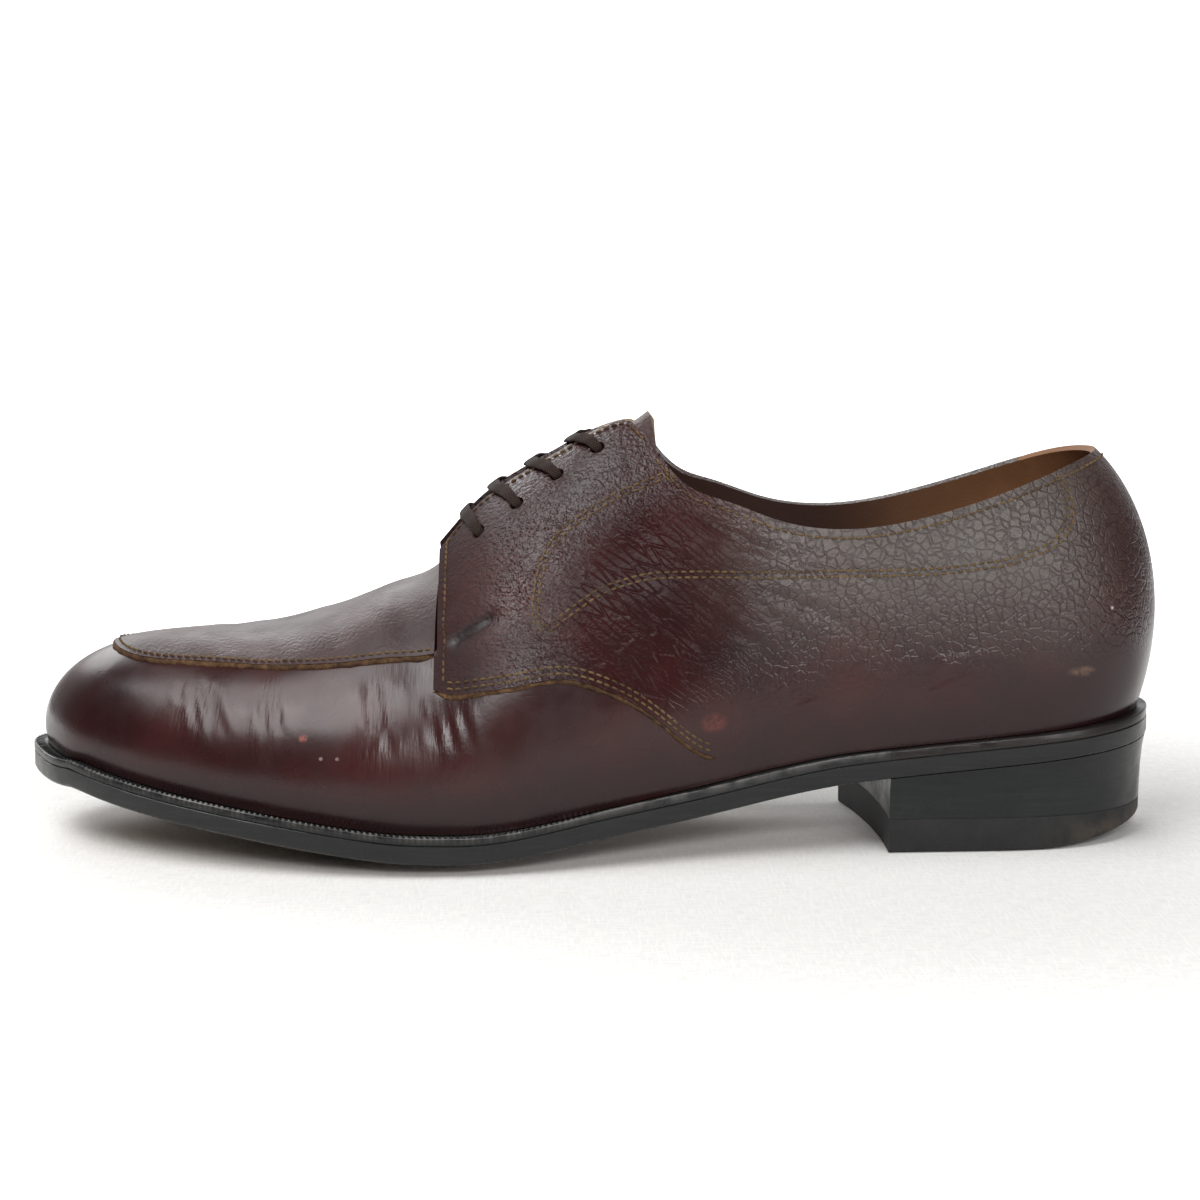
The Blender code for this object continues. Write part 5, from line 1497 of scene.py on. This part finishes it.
def floor_cloth():
    """Pale woven cloth near the shoe. Behind it the cloth glows white as painted light, and in front and at
    the sides it is painted grey as shade.
    """
    n = Nodes("floor_cloth")
    place = n.place()
    split = n.add("ShaderNodeSeparateXYZ", {"Vector": place}).outputs
    weave = [n.noise(1.0, 1.0, 0.6, n.place(scale)) for scale in ((1300, 160, 1), (160, 1300, 1))]
    thread = n.span(n.math("MAXIMUM", *weave), 0.35, 0.70, 0.90, 1.0)
    widening = n.math("MULTIPLY", n.math("MAXIMUM", split[1], 0.0), 0.35)
    beside = n.math("SUBTRACT", n.math("ABSOLUTE", split[0]), widening)
    inside = n.span(beside, 0.34, 0.60, 1.0, 0.0)
    lit = n.math("MULTIPLY", inside, n.span(split[1], -0.40, -0.29))
    away = n.add("ShaderNodeVectorMath", {0: n.place((0.8, 1.0, 1.0))}, operation="LENGTH").outputs["Value"]
    # The glow is painted light: the cloth gives off light though it is no lamp.
    glow = n.math("MULTIPLY", n.span(away, 0.13, 0.40), lit)
    glow = n.math("MULTIPLY", glow, n.span(split[1], 0.0, 0.20, 0.30, 1.0))
    colour = n.mix(lit, SHADED_CLOTH, n.mix(thread, (0.0, 0.0, 0.0), CLOTH))
    n.material.cycles.emission_sampling = "NONE"
    return n.set(Base_Color=colour, Roughness=0.9, Specular_IOR_Level=0.1,
                 Emission_Color=(1.0, 1.0, 1.0, 1.0), Emission_Strength=glow)


def make_shoe():
    raw_edge = raw_edge_leather()
    cut_edge = cut_edge_leather()
    make_upper(upper_leather(), lining_leather(), raw_edge, cut_edge)
    make_stitches(thread_cotton())
    make_lips(raw_edge)
    make_tongue(tongue_leather(), cut_edge)
    make_insole(insole_leather())
    make_outsole(stained_edge("outsole_edge", (0.010, 0.0105, 0.011)), tread_leather())
    stack = stained_edge("heel_edge", (0.0062, 0.0074, 0.0078))
    make_heel(stack, heel_rubber("lift_side", False), heel_rubber("lift_tread", True))
    welt = stained_edge("welt_edge", (0.010, 0.010, 0.0105), (0.170, 0.160, 0.150))
    make_welt_and_rand(welt, stained_edge("rand_edge", (0.013, 0.0095, 0.009)))
    make_laces(lace_cotton())


# Camera of the photograph, in the last's frame: the place it looks at, its distance and its angles.
TARGET, DISTANCE, PITCH, YAW = (2.0, 0.0, 63.5), 750.0, 9.55, 2.0
FOCAL, SENSOR = 82.125, 36.0


def make_camera():
    pitch, yaw = np.radians(PITCH), np.radians(YAW)
    back = np.array((-np.sin(yaw) * np.cos(pitch), -np.cos(yaw) * np.cos(pitch), np.sin(pitch)))
    data = bpy.data.cameras.new("camera")
    data.lens, data.sensor_width, data.sensor_fit = FOCAL, SENSOR, "HORIZONTAL"
    data.clip_start, data.clip_end = 0.01, 50.0
    camera = bpy.data.objects.new("camera", data)
    bpy.context.scene.collection.objects.link(camera)
    camera.location = to_row(np.array(TARGET) + DISTANCE * back)
    camera.rotation_euler = Vector(back).to_track_quat("Z", "Y").to_euler()
    bpy.context.scene.camera = camera


# Half the floor's side and its drop under the shoe, in metres.
FLOOR_HALF, FLOOR_DROP = 6.0, 0.0002


def make_floor():
    mesh = bpy.data.meshes.new("floor")
    half = FLOOR_HALF
    corners = [(-half, -half, 0), (half, -half, 0), (half, half, 0), (-half, half, 0)]
    mesh.from_pydata(corners, [], [(0, 1, 2, 3)])
    mesh.materials.append(floor_cloth())
    floor = bpy.data.objects.new("floor", mesh)
    floor.location.z = -FLOOR_DROP
    bpy.context.scene.collection.objects.link(floor)


# Soft boxes: the direction each stands in as degrees from the front to the right and up, its distance and
# size in metres, and its brightness over white. They stand round a place at this height.
LIGHTS_HEIGHT = 0.05
LIGHTS = {
    "name": ("key", "left", "front", "right", "back", "top"),
    "right": (-38.0, -82.0, 10.0, 40.0, -160.0, 0.0),
    "up": (50.0, 60.0, 27.0, 10.0, 33.0, 86.0),
    "distance": (1.25, 1.25, 1.40, 1.40, 1.30, 1.40),
    "size": ((0.70, 0.50), (0.60, 0.55), (0.80, 0.26), (0.40, 0.30), (1.20, 0.50), (1.20, 1.00)),
    "brightness": (7.0, 5.0, 14.0, 10.0, 3.8, 1.0),
}


def make_lights():
    for name, right, up, distance, size, brightness in zip(*LIGHTS.values()):
        turn, rise = np.radians(right), np.radians(up)
        towards = Vector((np.sin(turn) * np.cos(rise), -np.cos(turn) * np.cos(rise), np.sin(rise)))
        data = bpy.data.lights.new(name, "AREA")
        data.shape = "RECTANGLE"
        data.size, data.size_y = size
        data.energy = brightness * np.pi * size[0] * size[1]
        light = bpy.data.objects.new(name, data)
        light.location = towards * distance + Vector((0.0, 0.0, LIGHTS_HEIGHT))
        light.rotation_euler = towards.to_track_quat("Z", "Y").to_euler()
        bpy.context.scene.collection.objects.link(light)


# Brightness of the backdrop, over the part of a direction that points straight behind the shoe.
BACKDROP = {
    "place": (0.0, 0.55, 0.86, 1.0),
    "white": (0.07, 0.12, 1.05, 1.05),
}


def make_world():
    """White straight behind the shoe, and dim all around."""
    world = bpy.data.worlds.new("studio")
    world.use_nodes = True
    bpy.context.scene.world = world
    world.cycles.sampling_method = "NONE"
    tree = world.node_tree
    direction = tree.nodes.new("ShaderNodeTexCoord")
    split = tree.nodes.new("ShaderNodeSeparateXYZ")
    ramp = tree.nodes.new("ShaderNodeValToRGB")
    tree.links.new(direction.outputs["Generated"], split.inputs[0])
    tree.links.new(split.outputs["Y"], ramp.inputs["Fac"])
    tree.links.new(ramp.outputs["Color"], tree.nodes["Background"].inputs["Color"])
    set_stops(ramp, [(place, (white, white, white)) for place, white in zip(*BACKDROP.values())])
    bpy.context.scene.view_settings.view_transform = "Standard"
    bpy.context.scene.cycles.max_bounces = 4
    bpy.context.scene.cycles.diffuse_bounces = 2
    bpy.context.scene.cycles.glossy_bounces = 2


make_camera()
make_floor()
make_lights()
make_world()
make_shoe()
